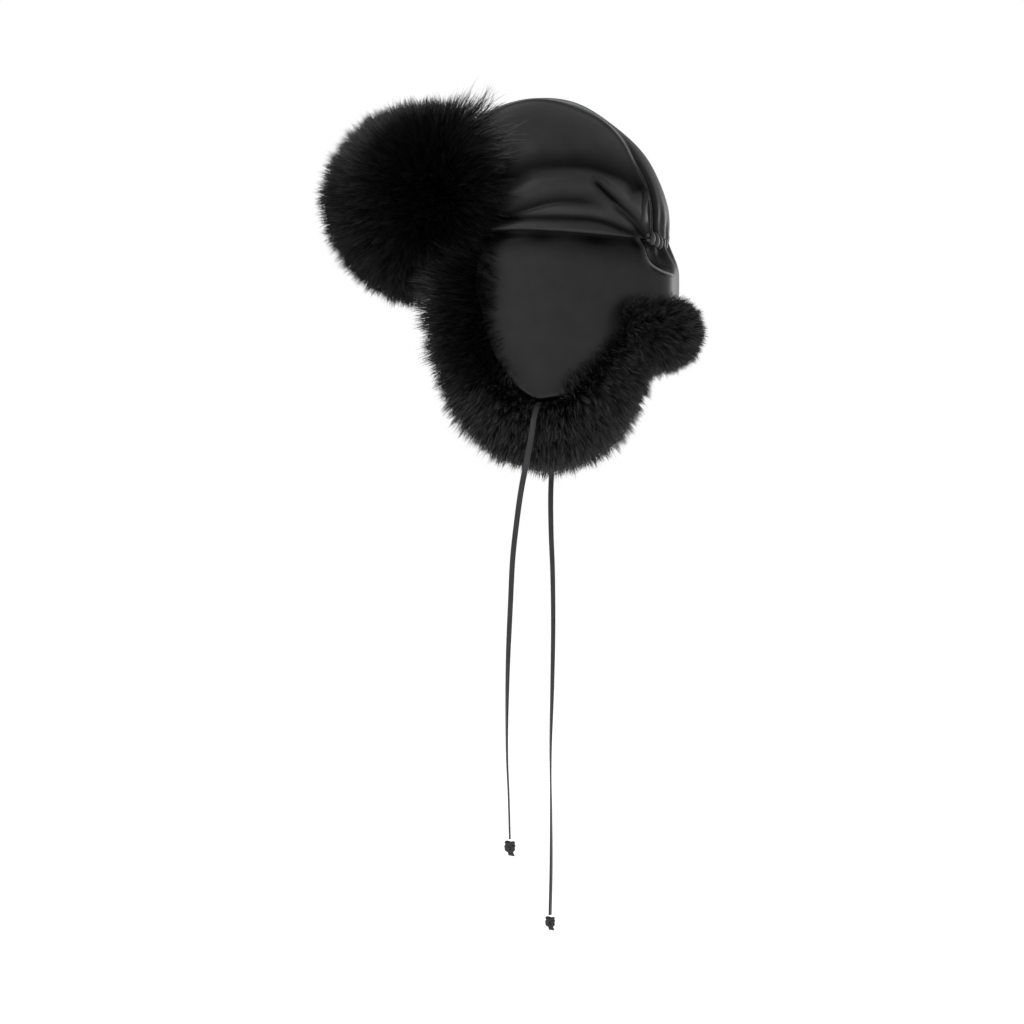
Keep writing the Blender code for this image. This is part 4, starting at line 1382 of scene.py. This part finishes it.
@dataclass
class Skirt:
    """The smooth leather surface below the hem, of which the ear flaps' and the neck flap's leather are parts.

    At the angle a from the rear it stands at ((w + o) sin a, (l + o) cos a, z). The outset o is the
    padding's puff away from the lower edge, the nape's bulge at the rear, a tuck under the crown's hem,
    and the swag fold with its pockets below the gather.
    """

    form: CrownForm = field(default_factory=CrownForm)
    puff: float = 0.0034
    nape: float = 0.0112
    hem_drop: float = 0.0045
    lower_edge: tuple[tuple[float, float], ...] = (
        # y, z of the leather's edge from the ear flap's front corner round its tip and on under the neck
        (-0.0585, 0.010),
        (-0.0585, -0.020),
        (-0.0565, -0.045),
        (-0.0510, -0.072),
        (-0.0440, -0.098),
        (-0.0330, -0.122),
        (-0.0190, -0.139),
        (-0.0060, -0.1480),
        (0.0020, -0.1500),
        (0.0120, -0.1485),
        (0.0270, -0.1450),
        (0.0450, -0.1290),
        (0.0640, -0.1050),
        (0.0800, -0.0880),
        (0.0945, -0.0780),
        (0.1200, -0.0740),
    )
    swag: tuple[tuple[float, float], ...] = (
        # distance round the rear from its middle, and z
        (0.0700, -0.0010),
        (0.0680, -0.0060),
        (0.0655, -0.0115),
        (0.0625, -0.0220),
        (0.0570, -0.0288),
        (0.0465, -0.0335),
        (0.0380, -0.0345),
        (0.0250, -0.0350),
        (0.0080, -0.0360),
    )

    def place(self, turn: Array, z: Array, lift: Array | float = 0.0) -> tuple[Array, Array]:
        """Works out points of the surface.

        Args:
            turn: Angle from the rear, positive on the wearer's left.
            z: Height.
            lift: How far the points are to stand off the surface.

        Returns:
            The points and their painted shade and highlight.
        """
        width, length = self.form.hem_half()
        turn, z = np.broadcast_arrays(turn, z)
        base = np.stack([width * np.sin(turn), length * np.cos(turn), z], -1)
        y, z = base[..., 1], base[..., 2]
        plane = np.stack([y, z], -1)
        inside = np.abs(along_route(plane, self.lower_edge, 160)[0])
        hem = -self.hem_drop * ease(y, -0.03, 0.09)
        below = hem - z
        rear = 1 - ease(np.abs(turn), 0.30, 0.74)
        out = self.puff * ease(inside, 0.0, 0.034) + 0.0006 * waves(base, 0.06, 61)
        out = out * (1 - 0.6 * rear) + self.nape * rear * ease(-z, -0.004, 0.032)
        out += rolled_edge(inside, 0.0016, 0.0010, 0.0009, 0.0028, 0.0020) * ease(-z, 0.110, 0.135)
        out -= 0.0034 * (1 - ease(below, 0.001, 0.009)) * (1 - rear)
        dips = 0.5 + 0.5 * np.cos((y - 0.002) / 0.0074)
        out -= 0.0005 * dips * hump(below, 0.009, 0.008)
        around = np.abs(turn) * 0.100
        off, share = along_route(np.stack([around, z], -1), self.swag, 60)
        ends = ease(share, 0.0, 0.06) * (1 - ease(share, 0.50, 0.86))
        inner = -off
        hollow = 0.0048 * ease(inner, 0.0, 0.006) * hump(inner, 0.0, 0.016)
        out += ends * (0.0042 * hump(inner, 0.0, 0.0022) - hollow)
        pocket = hump(around, 0.038, 0.015) * hump(z, -0.017, 0.012)
        out -= 0.0065 * pocket
        gathers = np.cos(around / 0.0026 + 0.5 * waves(base, 0.03, 94)) * hump(z, -0.008, 0.014) * rear
        out -= 0.0011 * gathers
        # painted shadow under the crown's hem, less at the rear
        painted_shading = -0.27 * (1 - ease(below, 0.002, 0.026 + 0.008 * ease(y, 0.0, 0.06))) * (1 - 0.5 * rear)
        # painted shade in the small dips under the hem
        painted_shading -= 0.12 * dips * hump(below, 0.006, 0.006) * (1 - rear)
        # painted highlight on the swag's ridge, painted shade in its hollow and in the pocket
        painted_shading += ends * (0.58 * hump(inner, 0.0, 0.0014) - 0.20 * hump(inner, 0.0050, 0.0036)) - 0.20 * pocket
        # painted highlight along the leather's edge near the tip
        painted_shading += 0.22 * hump(inside, 0.0020, 0.0010) * ease(-z, 0.115, 0.138)
        # painted shade over the whole skirt, more towards the ear flap's rear
        painted_shading -= 0.13 + 0.05 * ease(y, 0.050, 0.082) * (1 - rear)
        out = out + lift
        points = np.stack([(width + out) * np.sin(turn), (length + out) * np.cos(turn), z], -1)
        return points, painted_shading.clip(-0.5, 0.5)


@dataclass
class EarFlap:
    """An ear flap: leather outside, wadding, a short pressed pile inside and a full fur roll round the edge."""

    side: Side
    form: CrownForm = field(default_factory=CrownForm)
    skirt: Skirt = field(default_factory=Skirt)
    front_y: float = -0.0575
    rear_y: float = 0.0945
    border: tuple[tuple[float, float, float, float], ...] = (
        # y, z and radius of the underfur roll's middle, and the share of the pile's length on it
        (-0.0500, -0.010, 0.0080, 1.50),
        (-0.0600, -0.040, 0.0115, 1.55),
        (-0.0630, -0.072, 0.0140, 1.25),
        (-0.0600, -0.099, 0.0155, 1.05),
        (-0.0520, -0.124, 0.0165, 1.00),
        (-0.0390, -0.1455, 0.0170, 1.02),
        (-0.0210, -0.1610, 0.0170, 1.08),
        (0.0030, -0.1680, 0.0170, 1.05),
        (0.0260, -0.1620, 0.0170, 1.04),
        (0.0440, -0.1460, 0.0165, 1.00),
        (0.0580, -0.1270, 0.0160, 0.80),
        (0.0700, -0.1090, 0.0150, 0.74),
        (0.0800, -0.0960, 0.0145, 0.74),
        (0.0910, -0.0870, 0.0135, 0.74),
    )
    middle: tuple[float, float] = (0.008, -0.070)
    roll_inset: float = 0.0085
    strands: int = 28000
    inner_outline: tuple[tuple[float, float], ...] = (
        (-0.053, -0.016),
        (-0.051, -0.060),
        (-0.042, -0.108),
        (-0.020, -0.145),
        (0.003, -0.156),
        (0.030, -0.150),
        (0.052, -0.125),
        (0.072, -0.098),
        (0.084, -0.082),
    )
    inner_strands: int = 11000
    pile: Pile = field(default_factory=lambda: Pile(length=0.0240, comb=0.60, droop=0.10, splay=0.26))

    @property
    def sign(self) -> int:
        """The sign of X on this side."""
        return self.side.value

    @property
    def body(self) -> Body:
        """The frame's body of this flap."""
        return Body.EAR_LEFT if self.side is Side.LEFT else Body.EAR_RIGHT

    def leather(self) -> Sheet:
        """The outer leather, from the hem down to its U-shaped edge, as a part of the skirt.

        A column runs straight down in the side view, from the hem to the edge at the same share of both.
        """
        lower = [p for p in self.skirt.lower_edge if p[1] < 0 and p[0] <= self.rear_y]
        edge = smooth_line(lower, 200)
        top = np.stack([np.linspace(self.front_y, self.rear_y, 200), np.full(200, 0.0025)], -1)
        share = np.linspace(0, 1, 110)[None, :, None]
        share = 0.5 * share + 0.25 * (1 - np.cos(share * math.pi))
        flat = top[:, None] * (1 - share) + edge[:, None] * share
        turn = self.sign * np.arccos((flat[..., 0] / self.form.hem_half()[1]).clip(-1, 1))
        points, painted_shading = self.skirt.place(turn, flat[..., 1])
        return faced(Sheet(points, painted_shading=painted_shading), np.array([0, 0.01, -0.06]))

    def route(self, samples: int) -> tuple[Array, Array, Array]:
        """The border roll's middle line, its radii and the length share on it."""
        line = smooth_line(self.border, samples)
        x = self.sign * (self.form.hem_x(line[:, 0]) - self.roll_inset)
        return np.stack([x, line[:, 0], line[:, 1]], -1), line[:, 2], line[:, 3]

    def border_sheet(self) -> tuple[Sheet, Array]:
        """The underfur of the border: a tube of varying radius, closed at its ends, and the length share."""
        path, radii, scale = self.route(130)
        ends = np.linspace(0, 1, 130)
        close = np.sqrt(np.clip(1 - (2 * ends - 1) ** 30, 0, 1)) * 0.999 + 0.001
        return sweep(path, radii * close, np.array([1.0, 0, 0])), scale

    def border_bed(self) -> FurBed:
        """The border strands' bed.

        They are combed away from the leather's middle. Those beside the leather stand up and lean a
        little over its edge, except at the tip, and there are none on the side that faces it.
        """
        sheet, scale = self.border_sheet()
        points = sheet.points
        normals = unit(points - self.route(130)[0][:, None])
        away = unit(points[..., 1:] - np.array(self.middle))
        facing = normals[..., 1] * away[..., 0] + normals[..., 2] * away[..., 1]
        outer = self.sign * normals[..., 0]
        tip = hump(points[..., 1], 0.002, 0.024) * ease(-points[..., 2], 0.125, 0.145)
        beside = ease(-facing, 0.05, 0.75) * ease(outer, -0.1, 0.4)
        lift = 0.22 + 0.30 * beside + 0.42 * tip * ease(outer, 0.0, 0.7)
        rise = self.sign * lift * (0.3 + 0.7 * ease(outer, -0.6, 0.4))
        combed = unit(np.stack([rise, away[..., 0], away[..., 1]], -1))
        over = np.stack([0 * outer + 0.5 * self.sign, -0.9 * away[..., 0], -0.9 * away[..., 1]], -1)
        lean = (beside * (1 - tip))[..., None]
        combed = unit(combed * (1 - lean) + over * lean) * (1 - 0.25 * lean)
        density = ease(facing, -0.95, -0.35) * (1 - ease(-facing, 0.0, 0.5) * (1 - ease(outer, -0.3, 0.3)))
        density = density * (1 - 0.9 * tip * ease(-facing, 0.55, 0.85))
        density = density + 1.5 * hump(points[..., 1], 0.002, 0.007) * tip * ease(outer, 0.3, 0.6)
        share = scale[:, None] * (1 + 0.06 * waves(points, 0.04, 63))
        share = share * (1 - 0.30 * beside) * (1 - 0.25 * ease(outer, 0.3, 0.9))
        # painted shade: strands along the front edge, above the bottom, close against the leather are painted
        # much darker, those beside the leather a little darker, and those low down paler
        shaded = ease(points[..., 2], -0.150, -0.095) * (1 - ease(points[..., 1], -0.030, 0.010))
        close = ease(outer, 0.0, 0.6) * ease(0.75 - facing, 0.0, 0.6)
        tone_and_painted_shade = (1 - 0.92 * shaded * close) * (0.9 - 0.08 * beside)
        tone_and_painted_shade = tone_and_painted_shade * (1 + 0.15 * ease(-points[..., 2], 0.10, 0.15))
        return FurBed(sheet, combed, share, density.clip(0.0), normals=normals, tone_and_painted_shade=tone_and_painted_shade)

    def inner_sheet(self) -> Sheet:
        """The pressed pile's bed inside the flap: the flap's own outline, inset behind the wadding."""
        outline = smooth_line(self.inner_outline, 120)
        top = np.stack([np.linspace(-0.053, 0.084, 120), np.full(120, -0.003)], -1)
        share = np.linspace(0, 1, 60)[None, :, None]
        flat = top[:, None] * (1 - share) + outline[:, None] * share
        y, z = flat[..., 0], flat[..., 1]
        inset = 0.0075 + 0.0008 * waves(np.stack([0 * y, y, z], -1), 0.02, 67)
        width, length = self.form.hem_half()
        x = (width - inset) * np.sqrt(np.clip(1 - (y / (length - inset)) ** 2, 0.0, 1))
        return faced(Sheet(np.stack([self.sign * x, y, z], -1)), np.array([0, 0.01, -0.06]), away=False)

    def inner_bed(self) -> FurBed:
        """The inner strands' bed: short, combed down and outwards from the ear."""
        sheet = self.inner_sheet()
        points = sheet.points
        down = unit(np.stack([0 * points[..., 0], points[..., 1] - 0.008, points[..., 2] + 0.010], -1))
        ones = np.ones(points.shape[:2])
        return FurBed(sheet, down, ones * (1 + 0.1 * waves(points, 0.03, 68)), ones)

    def build(self, wardrobe: Wardrobe, dresser: Dresser) -> None:
        """Builds the leather, the wadding, the underfur and the guard hairs."""
        label = self.side.label
        bend = {"bends_from": Body.CROWN, "start": (0, 0, 0.0), "end": (0, 0, -0.030)}
        leather = self.leather().piece(f"ear_flap_outer_{label}", wardrobe.leather, 0.0013)
        dresser.hang(leather, self.body, "smooth_leather", [f"ear_flap_leather_{label}"], **bend)
        fleece = self.wadding().piece(f"ear_flap_fleece_{label}", wardrobe.fleece, 0.0022)
        dresser.hang(fleece, self.body, "wadding", [f"ear_flap_wadding_{label}"], **bend)
        core = self.border_sheet()[0]
        core = faced(core, self.route(130)[0].mean(0)).piece(f"ear_flap_underfur_{label}", wardrobe.backing)
        dresser.hang(core, self.body, "long_fur", [f"ear_flap_fur_{label}"], **bend)
        inner = self.inner_sheet().piece(f"ear_flap_inner_underfur_{label}", wardrobe.backing, 0.0015)
        dresser.hang(inner, self.body, "long_fur", **bend)
        seed = 70 if self.side is Side.LEFT else 80
        name = f"ear_flap_fur_hairs_{label}"
        hairs = self.pile.piece(name, self.border_bed(), self.strands, seed, wardrobe.fur)
        dresser.hang(hairs, self.body, "long_fur", **bend)
        short = pressed_pile()
        name = f"ear_flap_inner_hairs_{label}"
        lining = short.piece(name, self.inner_bed(), self.inner_strands, seed + 3, wardrobe.fur)
        dresser.hang(lining, self.body, "long_fur", **bend)

    def wadding(self) -> Sheet:
        """The wadding behind the leather: the same outline drawn in by 5 to 7 parts in 100, one layer in."""
        outer = self.leather().points
        middle = np.array([self.sign * 0.078, self.middle[0], self.middle[1]])
        shrink = np.array([1.0, 0.93, 0.95])
        points = middle + (outer - middle) * shrink
        points[..., 0] = self.sign * (self.form.hem_x(points[..., 1], -0.0026))
        return faced(Sheet(points[::3, ::3]), np.array([0, 0.01, -0.06]))


@dataclass
class NeckFlap:
    """The neck flap: leather that sags in a swag under the gather, wadding, and a fur roll below."""

    form: CrownForm = field(default_factory=CrownForm)
    drop: float = 0.060
    flare: float = 1.09
    skirt: Skirt = field(default_factory=Skirt)
    half_turn: float = 0.690
    roll_z: float = -0.083
    roll_out: float = -0.0090
    strands: int = 22000
    inner_strands: int = 7000
    pile: Pile = field(default_factory=lambda: Pile(length=0.0195, comb=0.35, droop=0.10, splay=0.28))

    def band(self, outset: float, low: float, span: float, rows: int, cols: int) -> tuple[Array, Array, Array]:
        """A flared band round the nape, as points, x/span and the share of the drop."""
        u = np.linspace(-1, 1, rows)[:, None]
        z = np.linspace(-0.002, low, cols)[None]
        grow = 1 + (self.flare - 1) * (-z / self.drop)
        width, length = self.form.hem_half()
        x = span * u * grow
        y = (length + outset) * grow * np.sqrt(np.clip(1 - (x / ((width + outset) * grow)) ** 2, 0, 1))
        x, y, z, u = np.broadcast_arrays(x, y, z, u)
        return np.stack([x, y, z], -1), u, -z / self.drop

    def leather(self) -> Sheet:
        """The leather: the skirt's surface at the rear, just over the ear flaps' edges and under at its own."""
        turn = np.linspace(-self.half_turn, self.half_turn, 220)[:, None]
        z = np.linspace(0.002, -0.068, 100)[None]
        lift = 0.00025 - 0.0008 * ease(np.abs(turn), 0.56, 0.66)
        points, painted_shading = self.skirt.place(turn, z, lift=lift)
        return faced(Sheet(points, painted_shading=painted_shading), np.array([0, 0.05, -0.03]))

    def roll(self) -> tuple[Sheet, Array]:
        """The underfur roll along the lower edge, a tube that follows the flared band, and its middle line."""
        turn = np.radians(np.linspace(30, 150, 90))
        width, length = (h * self.flare for h in self.form.hem_half())
        path = np.stack(
            [
                (width + self.roll_out) * np.cos(turn) * 0.80,
                (length + self.roll_out) * np.sin(turn) ** 0.55,
                self.roll_z - 0.010 * (1 - np.sin(turn)),
            ],
            -1,
        )
        ends = np.linspace(-1, 1, 90)
        radii = 0.0155 * np.sqrt(np.clip(1 - ends**24, 0, 1)) + 1e-5
        return sweep(path, radii, np.array([0, 0, 1.0])), path

    def bed(self) -> FurBed:
        """The strands' bed: combed out and down from the nape."""
        sheet, path = self.roll()
        normals = unit(sheet.points - path[:, None])
        nape = np.array([0.0, 0.075, -0.045])
        combed = unit((sheet.points - nape) * np.array([1.0, 1.0, 0.9]))
        density = ease((normals * combed).sum(-1), -0.9, -0.2)
        share = 1 + 0.08 * waves(sheet.points, 0.04, 93)
        return FurBed(sheet, combed, share, density, normals=normals)

    def build(self, wardrobe: Wardrobe, dresser: Dresser) -> None:
        """Builds the leather, the wadding, the underfur and the guard hairs."""
        bend = {"bends_from": Body.CROWN, "start": (0, 0, 0.0), "end": (0, 0, -0.022)}
        leather = self.leather().piece("neck_flap_outer", wardrobe.leather, 0.0013)
        dresser.hang(leather, Body.NECK, "smooth_leather", ["neck_flap_leather"], **bend)
        points = self.band(-0.0085, -0.060, 0.046, 70, 30)[0]
        padding = faced(Sheet(points), np.array([0, 0.05, -0.03]))
        fleece = padding.piece("neck_flap_fleece", wardrobe.fleece, 0.0018)
        dresser.hang(fleece, Body.NECK, "wadding", ["neck_flap_wadding"], **bend)
        core, path = self.roll()
        core = faced(core, path.mean(0)).piece("neck_flap_underfur", wardrobe.backing)
        dresser.hang(core, Body.NECK, "long_fur", ["neck_flap_fur"], **bend)
        inner_points = self.band(-0.0125, -0.080, 0.044, 70, 30)[0]
        inner = faced(Sheet(inner_points), np.array([0, 0.05, -0.03]), away=False)
        lining = inner.piece("neck_flap_inner_underfur", wardrobe.backing, 0.0015)
        dresser.hang(lining, Body.NECK, "long_fur", **bend)
        hairs = self.pile.piece("neck_flap_fur_hairs", self.bed(), self.strands, 95, wardrobe.fur)
        dresser.hang(hairs, Body.NECK, "long_fur", **bend)
        ones = np.ones(inner.points.shape[:2])
        down = np.stack([0 * ones, 0 * ones, -ones], -1)
        bed = FurBed(inner, down, ones, ones)
        name = "neck_flap_inner_hairs"
        small = pressed_pile().piece(name, bed, self.inner_strands, 98, wardrobe.fur)
        dresser.hang(small, Body.NECK, "long_fur", **bend)


@dataclass
class Tie:
    """A flat leather lace, folded and sewn along its length. It hangs from an ear flap and ends in a knot."""

    side: Side
    route: tuple[tuple[float, float, float], ...]
    width: float = 0.0052
    thick: float = 0.0019
    twists: float = 0.45
    knot_half: tuple[float, float, float] = (0.0042, 0.0046, 0.0056)

    @property
    def body(self) -> Body:
        """The frame's body that the tie moves with."""
        return Body.EAR_LEFT if self.side is Side.LEFT else Body.EAR_RIGHT

    def lace(self) -> tuple[Sheet, Array]:
        """The lace: a flat rounded section with a groove along its middle, carried down the path as it twists.

        At angle v of the section the half widths are w cos v across and t sin v (0.62 + 0.38 |cos v|)
        through it, turned about the path by the twist.
        """
        path = smooth_line(self.route, 420)
        tangent = unit(np.gradient(path, axis=0))
        across = unit(np.cross(np.array([1.0, 0.0, 0.15]), tangent))
        through = np.cross(tangent, across)
        share = np.linspace(0, 1, len(path))
        turn = self.twists * (share + 0.16 * np.sin(share * 9.0)) * math.pi * ease(share, 0.06, 0.5)
        first = across * np.cos(turn)[:, None] + through * np.sin(turn)[:, None]
        second = np.cross(tangent, first)
        v = np.linspace(0, 2 * math.pi, 20, endpoint=False)
        wide = 0.5 * self.width * np.cos(v)
        deep = 0.5 * self.thick * np.sin(v) * (0.62 + 0.38 * np.abs(np.cos(v)) ** 0.7) * 1.2
        section = first[:, None] * wide[None, :, None] + second[:, None] * deep[None, :, None]
        points = path[:, None] + section
        sheet = Sheet(points, ring_cols=True)
        toward = ((points - path[:, None]) * sheet.normals()).sum()
        return (sheet if toward > 0 else Sheet(points[:, ::-1], ring_cols=True)), path

    def knot(self) -> Sheet:
        """An overhand knot drawn tight: (sin t + 2 sin 2t, cos t - 2 cos 2t, -sin 3t) as a round tube."""
        t = np.linspace(0, 2 * math.pi, 150, endpoint=False)
        x, z = np.sin(t) + 2 * np.sin(2 * t), np.cos(t) - 2 * np.cos(2 * t)
        curve = np.stack([x, -np.sin(3 * t) * 1.6, z], -1)
        curve = curve / np.abs(curve).max(0) * (np.array(self.knot_half) - 0.0016)
        tangent = unit(np.roll(curve, -1, 0) - np.roll(curve, 1, 0))
        second = unit(np.cross(tangent, curve + np.array([0.0003, 0.0002, 0.0001])))
        first = np.cross(second, tangent)
        v = np.linspace(0, 2 * math.pi, 14, endpoint=False)
        wide = (0.0019 * np.cos(v))[None, :, None]
        deep = (0.0015 * np.sin(v))[None, :, None]
        ring = first[:, None] * wide + second[:, None] * deep
        centre = np.array(self.route[-1]) - np.array([0, 0, self.knot_half[2] + 0.0004])
        points = centre + curve[:, None] + ring
        sheet = Sheet(points, ring_rows=True, ring_cols=True)
        toward = (ring * sheet.normals()).sum()
        return sheet if toward > 0 else Sheet(points[:, ::-1], ring_rows=True, ring_cols=True)

    def tail(self) -> Sheet:
        """The lace's cut end below the knot: a short flat strip that widens a little."""
        top = np.array(self.route[-1]) - np.array([0, 0, 2 * self.knot_half[2] - 0.002])
        s = np.linspace(0, 1, 12)[:, None]
        u = np.linspace(-1, 1, 7)[None]
        half = 0.0022 + 0.0006 * s
        x = top[0] + 0.0004 * np.sin(s * 3) + 0 * u
        y = top[1] + half * u + 0.0015 * s
        z = top[2] - 0.0055 * s - 0.0004 * u
        points = np.stack(np.broadcast_arrays(x, y, z), -1)
        return Sheet(points.copy())

    def build(self, wardrobe: Wardrobe, dresser: Dresser) -> None:
        label = self.side.label
        sheet, path = self.lace()
        lace = sheet.piece(f"lace_{label}", wardrobe.lace)
        dresser.hang(lace, self.body, "smooth_leather", [f"tie_{label}"])
        knot = self.knot().piece(f"overhand_knot_{label}", wardrobe.lace)
        dresser.hang(knot, self.body, "smooth_leather", [f"tie_knot_{label}"])
        tail = self.tail().piece(f"lace_end_{label}", wardrobe.lace, 0.0010)
        dresser.hang(tail, self.body, "smooth_leather")


@dataclass
class Studio:
    """A white studio: a pale floor, a white surround and soft lights, with the camera level beside the hat."""

    camera_turn: float = 94.5
    distance: float = 2.224
    aim: tuple[float, float, float] = (0.0, -0.030, -0.249)
    lens: float = 85.0
    floor_z: float = -0.672

    def camera(self) -> None:
        """Makes the camera and points it level at the aim."""
        data = bpy.data.cameras.new("camera")
        data.lens = self.lens
        data.sensor_width = 36.0
        data.clip_end = 60.0
        camera = bpy.data.objects.new("camera", data)
        turn = math.radians(self.camera_turn)
        back = Vector((math.sin(turn), -math.cos(turn), 0.0))
        camera.location = Vector(self.aim) + back * self.distance
        camera.rotation_mode = "QUATERNION"
        camera.rotation_quaternion = (-back).to_track_quat("-Z", "Y")
        bpy.context.scene.collection.objects.link(camera)
        bpy.context.scene.camera = camera

    def soft_light(
        self,
        name: str,
        place: Sequence[float],
        size: float,
        watts: float,
        aim: Sequence[float] = (0.0, 0.0, 0.0),
    ) -> None:
        """Adds a square soft light that points at an aim, by default the middle of the hem."""
        data = bpy.data.lights.new(name, "AREA")
        data.size = size
        data.energy = watts
        light = bpy.data.objects.new(name, data)
        light.location = place
        light.rotation_mode = "QUATERNION"
        light.rotation_quaternion = (Vector(aim) - Vector(place)).to_track_quat("-Z", "Y")
        bpy.context.scene.collection.objects.link(light)

    def surround(self) -> None:
        """A white world, brightest near eye level and darker overhead."""
        world = bpy.data.worlds.new("white_surround")
        world.use_nodes = True
        tree = world.node_tree
        background = tree.nodes["Background"]
        place = tree.nodes.new("ShaderNodeTexCoord")
        axes = tree.nodes.new("ShaderNodeSeparateXYZ")
        ramp = tree.nodes.new("ShaderNodeValToRGB")
        span = tree.nodes.new("ShaderNodeMapRange")
        span.inputs["From Min"].default_value = -1.0
        tree.links.new(place.outputs["Generated"], axes.inputs[0])
        tree.links.new(axes.outputs["Z"], span.inputs["Value"])
        tree.links.new(span.outputs["Result"], ramp.inputs["Fac"])
        stops = ((0.0, 1.0), (0.61, 1.0), (0.70, 0.45), (1.0, 0.50))
        elements = ramp.color_ramp.elements
        while len(elements) < len(stops):
            elements.new(0.5)
        for element, (position, value) in zip(elements, stops):
            element.position = position
            element.color = (value, value, value, 1.0)
        tree.links.new(ramp.outputs["Color"], background.inputs["Color"])
        background.inputs["Strength"].default_value = 1.0
        bpy.context.scene.world = world

    def floor(self, wardrobe: Wardrobe) -> None:
        """A wide level floor under the ties' ends."""
        u = np.linspace(-12, 12, 9)
        x, y = np.meshgrid(u, u, indexing="ij")
        sheet = Sheet(np.stack([x, y, np.full(x.shape, self.floor_z)], -1))
        floor = faced(sheet, np.array([0, 0, -5.0])).piece("studio_floor", wardrobe.paper)

    def build(self, wardrobe: Wardrobe) -> None:
        """Makes the camera, the surround, the floor and the lights."""
        self.camera()
        self.surround()
        self.floor(wardrobe)
        self.soft_light("key_light", (1.7, -0.9, 1.5), 2.2, 22.0)
        self.soft_light("rim_light", (-2.2, 2.4, 0.1), 1.4, 25.0)
        bpy.context.scene.view_settings.view_transform = "Standard"


LEFT_ROUTE = (
    (0.0880, 0.0015, -0.1530),
    (0.1010, 0.0000, -0.1570),
    (0.1115, -0.0020, -0.1680),
    (0.1160, -0.0045, -0.1860),
    (0.1160, -0.0080, -0.2050),
    (0.1145, -0.0130, -0.2300),
    (0.1135, -0.0170, -0.2580),
    (0.1130, -0.0205, -0.2900),
    (0.1130, -0.0225, -0.3300),
    (0.1130, -0.0245, -0.3750),
    (0.1130, -0.0255, -0.4200),
    (0.1130, -0.0255, -0.4600),
    (0.1130, -0.0240, -0.4980),
    (0.1130, -0.0230, -0.5345),
)
RIGHT_ROUTE = (
    (-0.0880, 0.0015, -0.1530),
    (-0.1010, 0.0020, -0.1570),
    (-0.1115, 0.0015, -0.1680),
    (-0.1160, 0.0005, -0.1860),
    (-0.1160, -0.0005, -0.2050),
    (-0.1145, -0.0015, -0.2350),
    (-0.1135, -0.0010, -0.2700),
    (-0.1130, 0.0005, -0.3100),
    (-0.1130, 0.0010, -0.3600),
    (-0.1130, 0.0000, -0.4200),
    (-0.1130, -0.0015, -0.4800),
    (-0.1130, -0.0010, -0.5400),
    (-0.1130, -0.0010, -0.5900),
    (-0.1130, -0.0020, -0.6380),
)


def main() -> None:
    """Builds every sub-assembly in order."""
    logging.basicConfig(level=logging.INFO, format="%(name)s: %(message)s")
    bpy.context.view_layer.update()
    wardrobe = Wardrobe()
    dresser = Dresser()
    Studio().build(wardrobe)
    Tie(Side.LEFT, LEFT_ROUTE).build(wardrobe, dresser)
    Tie(Side.RIGHT, RIGHT_ROUTE, twists=0.6).build(wardrobe, dresser)
    Crown().build(wardrobe, dresser)
    Lining().build(wardrobe, dresser)
    RearGather().build(wardrobe, dresser)
    FrontFlap().build(wardrobe, dresser)
    for side in Side:
        EarFlap(side).build(wardrobe, dresser)
    NeckFlap().build(wardrobe, dresser)
    LOG.info("%d pieces made", dresser.made)


if __name__ == "__main__":
    main()
